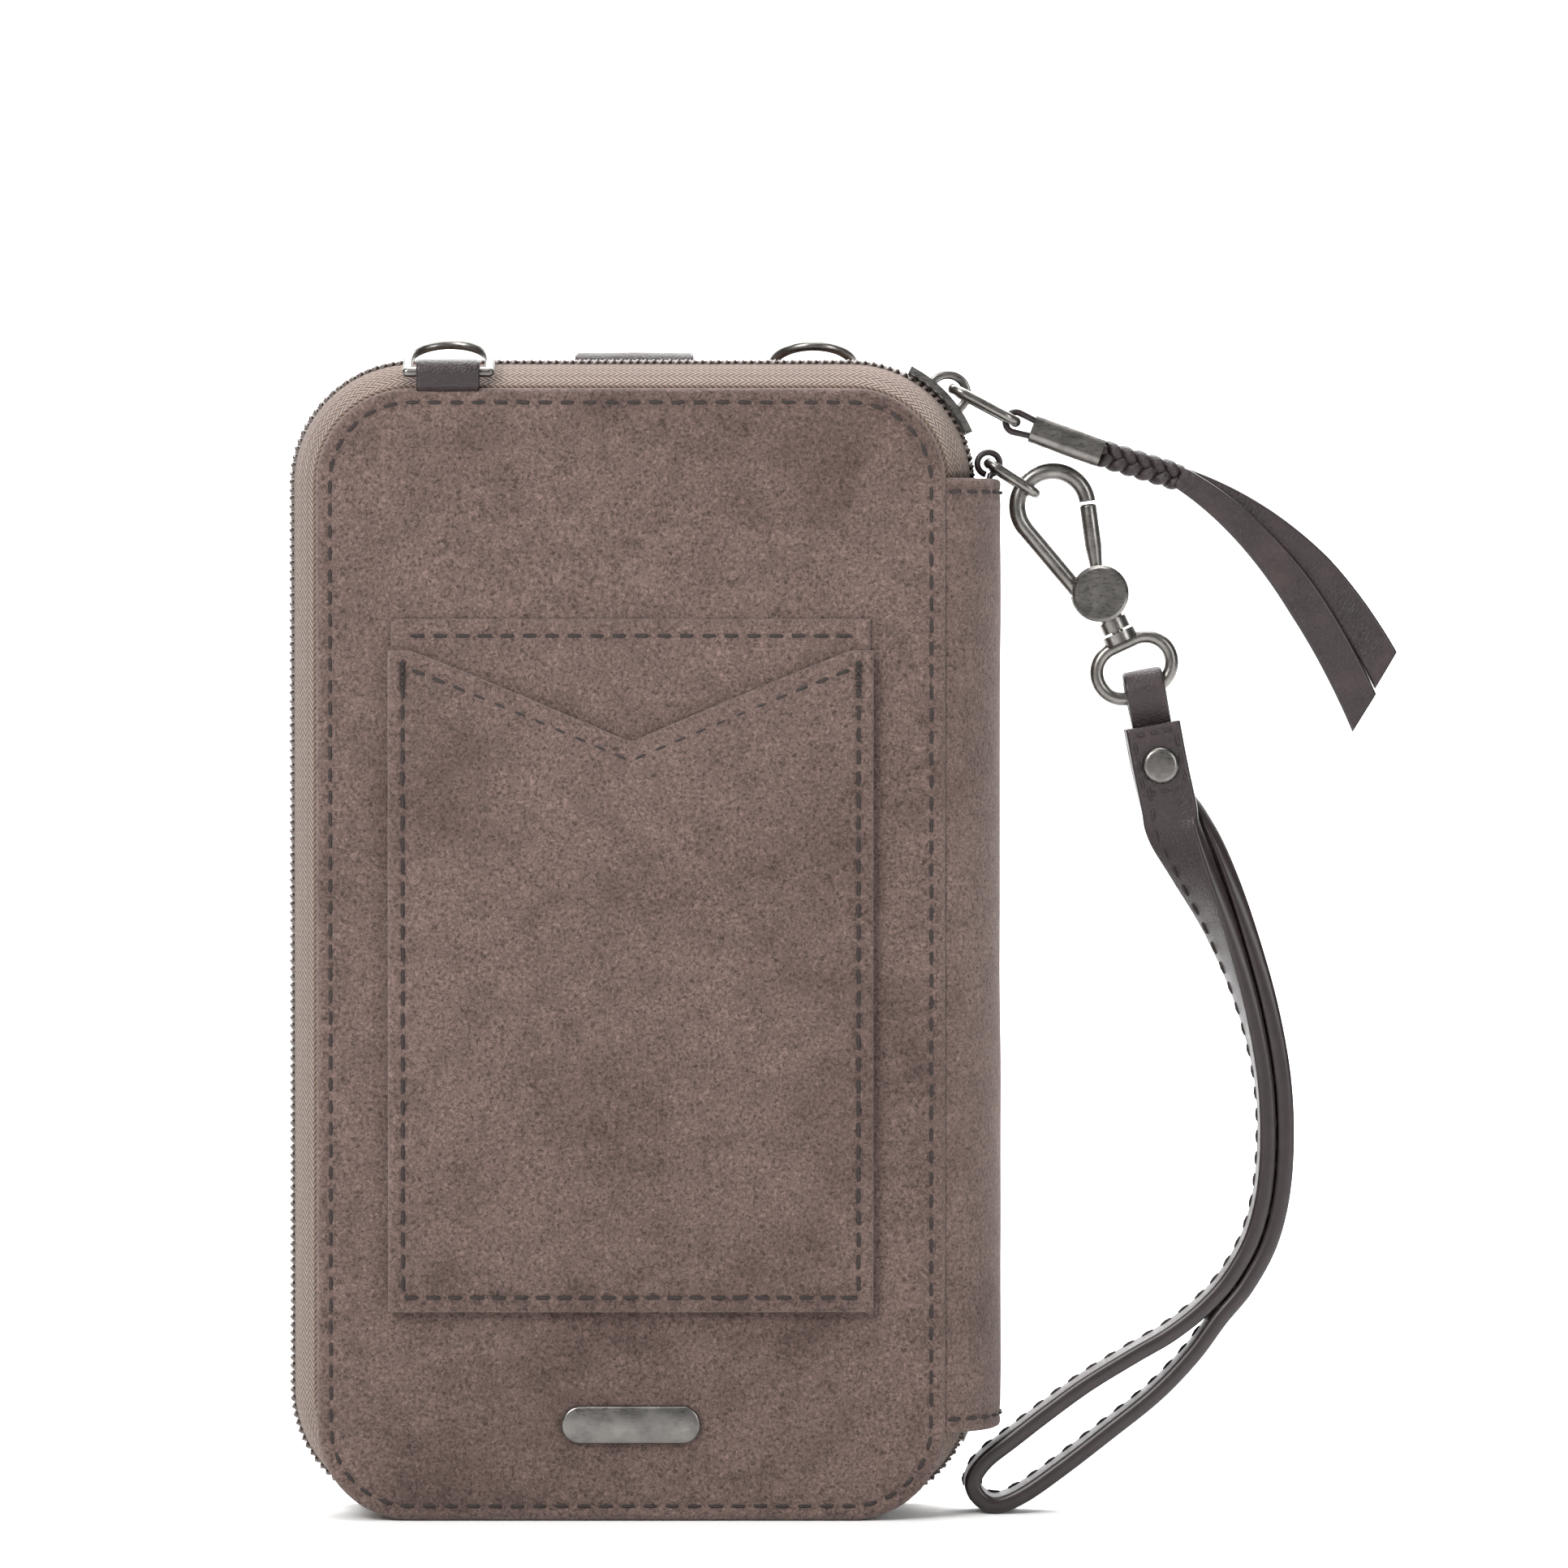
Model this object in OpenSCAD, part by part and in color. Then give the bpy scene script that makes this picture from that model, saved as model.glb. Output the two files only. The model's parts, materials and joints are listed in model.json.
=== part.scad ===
// Wristlet phone wallet: two suede covers joined by a folding spine, closed by
// a zip round three sides, with a wrist strap on a swivel snap hook.
// +Z up, +X towards the spine, the front cover faces -Y.
// The origin is the middle of the base.

/* [Covers] */
// Width of each cover
panel_w = 100; // [80:1:125]
// Height of each cover
panel_h = 180; // [150:1:220]
// Half of the closed depth, mid plane to outer face
half_d = 14; // [12:0.5:18]
// Corner radius of the covers
corner_r = 15; // [10:1:18]
// Thickness of the suede
suede_t = 1.2; // [0.8:0.1:1.5]
// Thickness of the stiffening board
board_t = 1.2; // [0.8:0.1:1.5]
// Thickness of the lining cloth
lining_t = 0.6; // [0.4:0.1:0.8]

/* [Zip] */
// How far the zip chain stands outside the cover edge
rim_out = 4.8; // [4:0.1:6]
// Height of the bottom of the zip path above the base
rim_foot = 5; // [5:0.5:8]
// Diameter of the zip coil
coil_d = 1.8; // [1.4:0.1:2.2]
// Gap between the two coils
coil_gap = 1.2; // [1.0:0.1:1.6]
// Thickness of the woven tape
tape_t = 0.8; // [0.6:0.1:1.0]
// Length of the slider along the chain
slider_len = 13; // [11:0.5:15]
// Thickness of the slider's wings
wing_t = 1.1; // [0.9:0.1:1.4]

/* [Spine] */
// How far the spine bulges past the covers
spine_bulge = 9.1; // [8:0.1:12]
// Height of the lower end of the spine
spine_z0 = 13.8; // [12:0.1:16]
// From the covers' top edge down to the upper end of the spine
spine_drop = 14.2; // [12:0.1:16]

/* [Outer pockets] */
// Width of the card pocket
card_w = 76; // [60:1:90]
// Height of the card pocket
card_h = 110; // [80:1:125]
// Height of the card pocket's foot above the base
card_z0 = 33.4; // [25:0.1:40]
// Depth of the V cut in the front layer
card_v = 14.5; // [8:0.5:20]
// Width of the phone pocket
phone_w = 84; // [70:1:95]
// Height of the phone pocket's foot above the base
phone_z0 = 8; // [5:1:15]
// From the covers' top edge down to the phone pocket's mouth
phone_drop = 26; // [20:1:40]

/* [Rings] */
// Outer width of the D-rings
dring_w = 14.6; // [12:0.1:18]
// Wire of the D-rings
dring_wire = 1.6; // [1.2:0.1:2]
// Wire of the link and pull rings
link_wire = 1.6; // [1.2:0.1:1.8]

/* [Snap hook] */
// Wire of the hook
hook_wire = 2.7; // [2.2:0.1:3]
// Radius of the hook's bow, to the wire's centre
bow_r = 5.65; // [5.2:0.05:6.2]
// Diameter of the hook's cap discs
disc_d = 9.1; // [8.6:0.1:10]
// Wire of the swivel eye
eye_wire = 2.2; // [1.8:0.1:2.4]

/* [Wrist strap] */
// Width of the strap
strap_w = 9; // [7:0.5:11]
// Thickness of one run of the strap
strap_t = 2.6; // [2:0.1:2.8]

/* [Fits] */
// Gap between parts that move past each other
clear = 0.35; // [0.3:0.05:0.5]
// Radial running fit of a pin in its bore
run_fit = 0.06; // [0.02:0.01:0.1]

/* [Hidden] */
$fn = 48;

suede = [0.49, 0.41, 0.37];
oxblood = [0.24, 0.17, 0.17];
nickel = [0.55, 0.53, 0.50];
tape_tan = [0.45, 0.35, 0.28];
coil_grey = [0.25, 0.21, 0.19];
cloth = [0.33, 0.27, 0.24];
board_buff = [0.60, 0.55, 0.45];

half_w = panel_w / 2;
edge_lip = 1.5;
board_y = half_d - suede_t;
inner_y = board_y - board_t;
lining_y = inner_y - lining_t;
lining_inset = 5;
rim_steps = 12;
coil_sides = 10;

// The zip path is the cover's outline with its foot raised by rim_foot.
arc_x = half_w - corner_r;
arc_top = panel_h - corner_r;
arc_low = rim_foot + corner_r;
coil_o = rim_out - coil_d / 2;
coil_y = (coil_gap + coil_d) / 2;
tape_edge_y = coil_y + coil_d / 2;
spine_z1 = panel_h - spine_drop;
spine_len = spine_z1 - spine_z0;
low_gap_a = asin((arc_low - spine_z0) / (corner_r + rim_out));
top_gap_a = asin((spine_z1 - arc_top) / (corner_r + rim_out));

// The spine is an arc through both cover edges; it folds on two lines.
spine_chord = half_d - 1;
spine_r = (spine_bulge * spine_bulge + spine_chord * spine_chord) / (2 * spine_bulge);
spine_cx = half_w + spine_bulge - spine_r;
fold_x = half_w + rim_out + 0.2;
fold_a = acos((fold_x - spine_cx) / spine_r);
wing_a = acos((half_w - spine_cx) / spine_r);
fold_gap_a = 0.5 * clear / spine_r * 180 / PI;
stay_t = 1.4;

// Where the slider sits on the top corner, seen from the corner's centre.
slider_a = 43;
slider_half_a = slider_len / 2 / (corner_r + coil_o) * 180 / PI;
chain_r = corner_r + coil_o;
wing_out_r = chain_r + coil_d / 2 + clear;
wing_in_r = chain_r - coil_d / 2 - clear;
slider_y = tape_edge_y + 0.6;
fin_t = coil_gap - 2 * clear + 0.1;

// Places along the strap hardware, as [x, z] in the middle plane.
loop_at = [fold_x + 2.1, spine_z1 + 2.5];
loop_hole_r = link_wire / 2 + clear + 0.2;
loop_t = 0.9;
loop_w = 5;
loop_leg = 9;
link_a = -33;
link_len = 8.9;
link_wid = 9;
link_corner = 1.8;
hook_at = loop_at + link_len * [cos(link_a), sin(link_a)] + [2.8, -2];
pivot_at = hook_at + [7.6, -14];
disc_r = disc_d / 2;
body_half_y = 1.9;
cap_t = 1.3;
pin_r = 0.8;
gate_slot_r = 2.5;
gate_w = 2.1;
slot_w_y = 2.8;
nose_a = 8;
heel_a = 220;
arm_len = 15;
swivel_a = -65;
post_r = 1.0;
neck_r = 2.3;
neck_end = disc_r + 2;
collar_r = 2.7;
collar_t = 1.6;
eye_r = 4.2;
eye_len = 4;
eye_at = pivot_at + (neck_end + clear + collar_t + eye_r + 0.4) * [cos(swivel_a), sin(swivel_a)];
eye_bar = eye_at + eye_r * [cos(swivel_a), sin(swivel_a)];
tab_a = -79;
fold_t = 1.1;
fold_r = eye_wire / 2 + 1.4;
fold_w = 6.4;
tab_len = 15;
rivet_d = 12;
rivet_r = 1.2;
rivet_cap_r = 2.9;
rivet_cap_t = 0.9;

// The zip pull, from the bail to the tips of its tails.
link_r = link_wire / 2;
bail_in = 2 * link_r + 2 * clear;
bail_at = [arc_x, arc_top]
  + (wing_out_r + wing_t + link_r + clear) * [cos(slider_a), sin(slider_a)];
pull_a = -28;
pull_len = 11.4;
pull_wid = 8;
ring_end = bail_at + pull_len * [cos(pull_a), sin(pull_a)];
thong_t = 1.0;
thong_w = 4;
thong_len = 7;
ferrule_a = -20;
ferrule_gap = 2.8;
ferrule_len = 11.8;
ferrule_h = 4.7;
ferrule_w = 6;
ferrule_wall = 0.6;
ferrule_end = ring_end + (ferrule_gap + ferrule_len) * [cos(ferrule_a), sin(ferrule_a)];
braid_d = 4.2;
braid_a = -17;
braid_len = 13;
braid_end = ferrule_end + braid_len * [cos(braid_a), sin(braid_a)];
tail_t = 1.3;
tail_w = 6;
tail_steps = 14;

// ---------- helpers ----------

// Turns the local +X axis to the angle a in the XZ plane, at [x, z].
module at(p, a = 0, y = 0) { translate([p[0], y, p[1]]) rotate([0, -a, 0]) children(); }

// Mirrors to the back half.
module back() { mirror([0, 1, 0]) children(); }

// A bar of radius r along Y.
module y_bar(r, len) { rotate([90, 0, 0]) cylinder(r = r, h = len, center = true); }

// A slab with rounded corners in the XZ plane, from y0 to y1.
module slab(w, h, r, y0, y1) {
  translate([0, y1, 0]) rotate([90, 0, 0]) linear_extrude(y1 - y0)
    union() {
      translate([-w / 2 + r, 0]) square([w - 2 * r, h]);
      translate([-w / 2, r]) square([w, h - 2 * r]);
      for (x = [-w / 2 + r, w / 2 - r], z = [r, h - r]) translate([x, z]) circle(r);
    }
}

// A ring of wire along an arc in the XZ plane.
module wire_arc(c, ring_r, wire_r, a0, a1) {
  translate([c[0], 0, c[1]]) rotate([90, 0, 0]) rotate([0, 0, a0])
    rotate_extrude(angle = a1 - a0) translate([ring_r, 0]) circle(wire_r);
}

// A straight wire between two points of the XZ plane.
module wire(p, q, wire_r) {
  d = q - p;
  at(p, atan2(d[1], d[0])) rotate([0, 90, 0]) cylinder(r = wire_r, h = norm(d));
}

// A rectangular link with rounded corners, in the local XY plane, from x = 0.
module link(len, wid, rc, wire_r) {
  translate([0, -wid / 2 + rc, 0]) rotate([-90, 0, 0]) cylinder(r = wire_r, h = wid - 2 * rc);
  translate([len, -wid / 2 + rc, 0]) rotate([-90, 0, 0]) cylinder(r = wire_r, h = wid - 2 * rc);
  for (s = [-1, 1]) translate([rc, s * wid / 2, 0]) rotate([0, 90, 0])
    cylinder(r = wire_r, h = len - 2 * rc);
  for (c = [[rc, rc - wid / 2, 180], [len - rc, rc - wid / 2, 270],
            [len - rc, wid / 2 - rc, 0], [rc, wid / 2 - rc, 90]])
    translate([c[0], c[1], 0]) rotate([0, 0, c[2]])
      rotate_extrude(angle = 90) translate([rc, 0]) circle(wire_r);
}

// Stations round the zip path, as [x, z] and the outward direction's angle.
function corner(cx, cz, a0, a1) = [for (i = [0:rim_steps])
  let (a = a0 + (a1 - a0) * i / rim_steps) [cx + corner_r * cos(a), cz + corner_r * sin(a), a]];
rim_path = concat(corner(arc_x, arc_top, top_gap_a, 90), corner(-arc_x, arc_top, 90, 180),
                  corner(-arc_x, arc_low, 180, 270), corner(arc_x, arc_low, 270, 360 - low_gap_a));

// Sweeps a profile of [outward, y] round the zip path; caps lists its convex parts.
module rim(profile, caps) {
  n = len(profile);
  last = n * (len(rim_path) - 1);
  polyhedron(
    [for (q = rim_path, v = profile) [q[0] + v[0] * cos(q[2]), v[1], q[1] + v[0] * sin(q[2])]],
    concat(
      [for (c = caps) each [[for (k = [len(c) - 1:-1:0]) c[k]], [for (k = c) last + k]]],
      [for (i = [0:n:last - n], k = [0:n - 1])
        [i + k, i + (k + 1) % n, i + n + (k + 1) % n, i + n + k]]
    ), convexity = 6);
}

// A strip of the spine's arc, of one thickness, between two angles.
module spine_arc(r_out, t, a0, a1, z0, len) {
  translate([spine_cx, 0, z0]) rotate([0, 0, a0]) rotate_extrude(angle = a1 - a0)
    translate([r_out - t, 0]) square([t, len]);
}

// A pocket: a flat wall that stands off its backing on a seam round three sides.
module pocket(w, h, z0, y_back, wall, seam, lift) {
  translate([-w / 2, y_back + lift, z0]) cube([w, wall, h]);
  for (x = [-w / 2, w / 2 - seam]) translate([x, y_back, z0]) cube([seam, lift, h]);
  translate([-w / 2, y_back, z0]) cube([w, lift, seam]);
}

// ---------- covers ----------

// All these are drawn on the back half and mirrored for the front one.
module cover_skin() {
  slab(panel_w, panel_h, corner_r, board_y, half_d);
  difference() {
    slab(panel_w, panel_h, corner_r, inner_y, board_y);
    translate([0, 0, edge_lip])
      slab(panel_w - 2 * edge_lip, panel_h - 2 * edge_lip, corner_r - edge_lip, inner_y - 1, board_y);
  }
}

module cover_board() {
  translate([0, 0, edge_lip])
    slab(panel_w - 2 * edge_lip, panel_h - 2 * edge_lip, corner_r - edge_lip, inner_y, board_y);
}

module cover_lining() {
  translate([0, 0, rim_foot + lining_inset])
    slab(panel_w - 2 * lining_inset, panel_h - rim_foot - 2 * lining_inset,
         corner_r - lining_inset, lining_y, inner_y);
}

module cover_tape() {
  rim([
    [-lining_inset + clear, inner_y], [tape_t / 2, inner_y],
    [coil_o + tape_t / 2, tape_edge_y], [coil_o - tape_t / 2, tape_edge_y],
    [-tape_t / 2, inner_y - tape_t], [-lining_inset + clear, inner_y - tape_t]
  ], [[0, 1, 4, 5], [1, 2, 3, 4]]);
}

module cover_coil() {
  rim([for (k = [coil_sides - 1:-1:0]) [coil_o, coil_y] + coil_d / 2
    * [cos((k + 0.5) * 360 / coil_sides), sin((k + 0.5) * 360 / coil_sides)]],
    [[for (k = [0:coil_sides - 1]) k]]);
}

module cover_wing() {
  intersection() {
    spine_arc(spine_r, suede_t, fold_a + fold_gap_a, wing_a + 5, spine_z0, spine_len);
    translate([half_w, 0, spine_z0]) cube([rim_out + 2, half_d, spine_len]);
  }
}

module front_panel() { color(suede) back() cover_skin(); }
module front_board() { color(board_buff) back() cover_board(); }
module front_lining() { color(cloth) back() cover_lining(); }
module front_zip_tape() { color(tape_tan) back() cover_tape(); }
module front_zip_coil() { color(coil_grey) back() cover_coil(); }
module front_wing() { color(suede) back() cover_wing(); }
module back_panel() { color(suede) cover_skin(); }
module back_board() { color(board_buff) cover_board(); }
module back_lining() { color(cloth) cover_lining(); }
module back_zip_tape() { color(tape_tan) cover_tape(); }
module back_zip_coil() { color(coil_grey) cover_coil(); }
module back_wing() { color(suede) cover_wing(); }

// ---------- card pocket, emblem ----------

pocket_t = 0.9;
pocket_lift = 0.5;
pocket_seam = 2.5;
v_rise = 5;

module card_pocket_slip() {
  color(suede) back()
    pocket(card_w, card_h, card_z0, half_d, pocket_t, pocket_seam, pocket_lift);
}

// The front layer's upper edge falls to a V in the middle.
module card_pocket_front() {
  y0 = half_d + pocket_t + pocket_lift;
  top = card_h - v_rise;
  color(suede) back() difference() {
    pocket(card_w + 1, top, card_z0, y0, pocket_t, pocket_seam, pocket_lift);
    translate([0, y0 + 2 * pocket_t, card_z0 + top]) rotate([90, 0, 0])
      linear_extrude(3 * pocket_t + 1)
        polygon([[-card_w / 2 + 3, 0.1], [-card_w / 2 + 4, 0], [0, -card_v],
                 [card_w / 2 - 4, 0], [card_w / 2 - 3, 0.1]]);
  }
}

emblem_w = 22;
emblem_h = 6;
emblem_t = 1.4;
emblem_z = 12.4;

module emblem_plate() {
  color(nickel) back() translate([0, 0, emblem_z])
    slab(emblem_w, emblem_h, emblem_h / 2 - 0.2, half_d, half_d + emblem_t);
}

// ---------- D-rings ----------

dring_x = 29;
dring_r = dring_wire / 2;
tab_w = 10;
ring_tab_t = 0.9;
dring_tilt = 27;
ring_bar = [half_d - 1.6, panel_h + ring_tab_t + dring_r + clear + 0.5];

module ring_tab() {
  tab_r = dring_r + clear + ring_tab_t;
  translate([-tab_w / 2, 0, 0]) difference() {
    union() {
      translate([0, ring_bar[0], ring_bar[1]]) rotate([0, 90, 0]) cylinder(r = tab_r, h = tab_w);
      translate([0, inner_y + 0.1, panel_h])
        cube([tab_w, half_d - inner_y - 0.1, ring_bar[1] - panel_h]);
    }
    translate([-1, ring_bar[0], ring_bar[1]]) rotate([0, 90, 0])
      cylinder(r = dring_r + clear, h = tab_w + 2);
  }
}

// The ring's bow stands out from its bar; tilt turns it about the bar.
module d_ring() {
  bow = (dring_w - dring_wire) / 2;
  translate([0, ring_bar[0], ring_bar[1]]) rotate([180 - dring_tilt, 0, 0]) {
    translate([-bow, 0, 0]) rotate([0, 90, 0]) cylinder(r = dring_r, h = 2 * bow);
    for (s = [-1, 1]) translate([s * bow, 0, 0]) {
      sphere(dring_r);
      rotate([-90, 0, 0]) cylinder(r = dring_r, h = bow * 0.6);
    }
    translate([0, bow * 0.6, 0]) rotate_extrude(angle = 180) translate([bow, 0]) circle(dring_r);
  }
}

module front_ring_tab() { color(oxblood) translate([-dring_x, 0, 0]) back() ring_tab(); }
module front_d_ring() { color(nickel) translate([-dring_x, 0, 0]) back() d_ring(); }
module rear_ring_tab() { color(oxblood) translate([dring_x, 0, 0]) ring_tab(); }
module rear_d_ring() { color(nickel) translate([dring_x, 0, 0]) d_ring(); }

// ---------- rear phone pocket and snap tab ----------

phone_wall = 1.2;
phone_lift = 1.6;
snap_tab_w = 19.3;
snap_tab_t = 1.2;
snap_z = panel_h - phone_drop - 12;
tab_top = panel_h + 3.9;
snap_r = 5.5;
snap_h = 0.8;

module phone_pocket() {
  color(suede)
    pocket(phone_w, panel_h - phone_drop - phone_z0, phone_z0, half_d, phone_wall, 3, phone_lift);
}

module pocket_snap_socket() {
  color(nickel) translate([0, half_d + phone_lift + phone_wall + snap_h / 2, snap_z])
    y_bar(snap_r, snap_h);
}

// Stitched to the cover above the pocket, it carries the tab's fold.
module tab_anchor() {
  color(oxblood) translate([-snap_tab_w / 2, half_d, panel_h - 12])
    cube([snap_tab_w, snap_tab_t, tab_top - panel_h + 12 - clear]);
}

// Folds over the top of a phone and down the outside of its pocket.
module snap_tab() {
  drop_y = half_d + phone_lift + phone_wall + snap_h + 0.9;
  bend = (drop_y - half_d) / 2;
  foot = snap_z - 9;
  color(oxblood) translate([-snap_tab_w / 2, 0, 0]) {
    translate([0, drop_y, foot]) cube([snap_tab_w, snap_tab_t, tab_top - foot]);
    translate([0, half_d + bend + snap_tab_t / 2, tab_top]) rotate([90, 0, 90])
      rotate_extrude(angle = 180) translate([bend - snap_tab_t / 2, 0])
        square([snap_tab_t, snap_tab_w]);
  }
}

module tab_snap_stud() {
  y0 = half_d + phone_lift + phone_wall + snap_h;
  color(nickel) translate([0, y0 + 0.6, snap_z]) y_bar(snap_r - 1, 0.6);
}

// ---------- inside: card slots and coin pocket ----------

inner_side = 8;
slot_w = panel_w - 2 * inner_side;
slot_h = 46;
slot_wall = 0.9;
slot_lift = 0.4;
slot_z0 = 22;
slot_step = 14;
coin_w = panel_w - 2 * inner_side;
coin_h = 100;
coin_z0 = 22;
coin_lift = 2.4;
coin_zip_z = coin_z0 + coin_h + 3.4;
coin_zip_y = lining_y - coin_lift;
coin_zip_w = coin_w - 8;
coin_coil_r = 0.6;
coin_slider = [9, 6];
coin_plate_t = 0.9;
coin_pull = 16.5;

module card_slot_lower() {
  color(oxblood) back() mirror([0, 1, 0])
    pocket(slot_w, slot_h, slot_z0, -lining_y, slot_wall, 3, slot_lift);
}

module card_slot_upper() {
  color(oxblood) back() mirror([0, 1, 0])
    pocket(slot_w, slot_h, slot_z0 + slot_h + slot_step, -lining_y, slot_wall, 3, slot_lift);
}

module coin_pocket() {
  color(cloth) mirror([0, 1, 0])
    pocket(coin_w, coin_h, coin_z0, -lining_y, 0.8, 3, coin_lift);
}

module coin_zip_tape() {
  color(tape_tan) difference() {
    translate([-coin_w / 2, coin_zip_y, coin_z0 + coin_h]) cube([coin_w, coin_lift, 12]);
    translate([-coin_zip_w / 2, coin_zip_y - 1, coin_zip_z - 1])
      cube([coin_zip_w, coin_lift + 2, 2]);
  }
}

module coin_zip_coil() {
  color(coil_grey) for (s = [-1, 1])
    translate([-coin_zip_w / 2, coin_zip_y - coin_coil_r, coin_zip_z + s * 2 * coin_coil_r])
      rotate([0, 90, 0]) cylinder(r = coin_coil_r, h = coin_zip_w);
}

// A plate over the coils, its bail, and the pull that hangs from the bail.
module coin_zip_slider() {
  color(nickel)
    translate([coin_zip_w / 2 - coin_slider[0] - 1, coin_zip_y - 2 * coin_coil_r - clear, coin_zip_z]) {
      translate([0, -coin_plate_t, -coin_slider[1] / 2])
        cube([coin_slider[0], coin_plate_t, coin_slider[1]]);
      translate([2, -coin_plate_t - 1.4, -0.8]) difference() {
        cube([5, 1.5, 1.6]);
        translate([1, 0.2, -1]) cube([3, 1.5, 4]);
      }
      translate([2.5 - coin_pull, -coin_plate_t - 0.6, -1.5]) cube([coin_pull, 0.5, 3]);
    }
}

// A crimped stop round the lower end of the back coil.
module zip_end_stop() {
  a1 = 360 - low_gap_a;
  color(nickel) translate([arc_x, 0, arc_low]) rotate([90, 0, 0]) rotate([0, 0, a1 - 8])
    rotate_extrude(angle = 8) difference() {
      translate([chain_r - coil_d / 2 - 0.5, -tape_edge_y + 0.1])
        square([coil_d + 1, tape_edge_y - 0.4]);
      translate([chain_r, -coil_y]) circle(coil_d / 2);
    }
}

// ---------- spine ----------

module spine_panel() {
  color(suede) spine_arc(spine_r, suede_t, -fold_a + fold_gap_a, fold_a - fold_gap_a,
                         spine_z0, spine_len);
}

module spine_stay() {
  color(board_buff) spine_arc(spine_r - suede_t, stay_t, -fold_a + 4, fold_a - 4,
                              spine_z0 + 4, spine_len - 14);
}

module spine_lining() {
  color(cloth) spine_arc(spine_r - suede_t - stay_t, lining_t, -fold_a + 4, fold_a - 4,
                         spine_z0 + 1, spine_len - 2);
}

// A leather loop whose leg is glued between the spine's suede and its lining.
module strap_loop() {
  r = loop_hole_r + loop_t;
  leg_x = spine_cx + spine_r - suede_t - stay_t;
  color(oxblood) difference() {
    union() {
      at(loop_at) y_bar(r, loop_w);
      translate([leg_x + 0.05, -loop_w / 2, spine_z1 - loop_leg])
        cube([loop_t, loop_w, loop_at[1] - spine_z1 + loop_leg]);
    }
    at(loop_at) y_bar(loop_hole_r, loop_w + 2);
  }
}

// ---------- zip slider and pull ----------

// A block bent round the top corner of the zip path.
module corner_block(r0, r1, y0, y1, a0, a1) {
  translate([arc_x, 0, arc_top]) rotate([90, 0, 0]) rotate([0, 0, a0])
    rotate_extrude(angle = a1 - a0) translate([r0, -y1]) square([r1 - r0, y1 - y0]);
}

// The inner wing holds the back coil only, and the outer one stops short in front,
// so the cover's coil is free to leave.
module zip_slider() {
  a0 = slider_a - slider_half_a;
  a1 = slider_a + slider_half_a;
  color(nickel) {
    corner_block(wing_out_r, wing_out_r + wing_t, -coil_y - 0.25, slider_y, a0, a1);
    corner_block(wing_out_r - 0.5, wing_out_r + 0.4, tape_edge_y + 0.1, slider_y, a0, a1);
    corner_block(wing_in_r - wing_t, wing_in_r, -fin_t / 2, tape_edge_y, a0, a1);
    corner_block(wing_in_r - 0.4, wing_out_r + 0.4, -fin_t / 2, fin_t / 2, a0 + 2, slider_a - 3);
  }
}

module slider_bail() {
  color(nickel) at([arc_x, arc_top] + (wing_out_r + wing_t) * [cos(slider_a), sin(slider_a)], slider_a)
    rotate([90, 0, 0]) rotate([0, 0, -90]) rotate_extrude(angle = 180)
      translate([bail_in, -1]) square([1.5, 2]);
}

module pull_ring() { color(nickel) at(bail_at, pull_a) link(pull_len, pull_wid, 2.2, link_r); }

module pull_thong() {
  r = link_r + clear;
  color(oxblood) at(ring_end, ferrule_a) difference() {
    union() {
      y_bar(r + thong_t, thong_w);
      translate([0, -thong_w / 2, -1.6]) cube([thong_len, thong_w, 3.2]);
    }
    y_bar(r, thong_w + 2);
  }
}

module soft_rect(w, h, r) {
  square([w - 2 * r, h], center = true);
  square([w, h - 2 * r], center = true);
  for (x = [-1, 1], y = [-1, 1]) translate([x * (w / 2 - r), y * (h / 2 - r)]) circle(r);
}

module pull_ferrule() {
  color(nickel) at(ring_end, ferrule_a) translate([ferrule_gap, 0, 0]) rotate([0, 90, 0])
    linear_extrude(ferrule_len) difference() {
      soft_rect(ferrule_h, ferrule_w, 1.5);
      soft_rect(ferrule_h - 2 * ferrule_wall, ferrule_w - 2 * ferrule_wall, 1);
    }
}

module pull_braid() {
  color(oxblood) at(ferrule_end, braid_a) rotate([0, 90, 0]) cylinder(r = braid_d / 2, h = braid_len);
}

// A flat tail in the XZ plane: a quadratic curve widened to both sides.
function bend(p, t) = (1 - t) * (1 - t) * p[0] + 2 * t * (1 - t) * p[1] + t * t * p[2];
function bend_dir(p, t) = let (d = 2 * (1 - t) * (p[1] - p[0]) + 2 * t * (p[2] - p[1])) d / norm(d);
function beside(p, t, off) = bend(p, t) + off * [-bend_dir(p, t)[1], bend_dir(p, t)[0]];

module tail(reach, sag, y0) {
  p = [braid_end + 0.5 * [cos(braid_a), sin(braid_a)], braid_end + sag, braid_end + reach];
  color(oxblood) translate([0, y0 + tail_t, 0]) rotate([90, 0, 0]) linear_extrude(tail_t) polygon(concat(
    [for (i = [0:tail_steps]) beside(p, i / tail_steps, tail_w * (0.3 + 0.2 * i / tail_steps))],
    [for (i = [tail_steps:-1:0]) beside(p, i / tail_steps * 1.08,
                                        -tail_w * (0.3 + 0.2 * i / tail_steps))]
  ));
}

module pull_tail_front() { tail([29, -36], [17, -10], -tail_t - 0.1); }
module pull_tail_rear() { tail([32.5, -29.5], [20, -7.5], 0.1); }

// ---------- link and snap hook ----------

module link_ring() { color(nickel) at(loop_at, link_a) link(link_len, link_wid, link_corner, link_r); }

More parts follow.
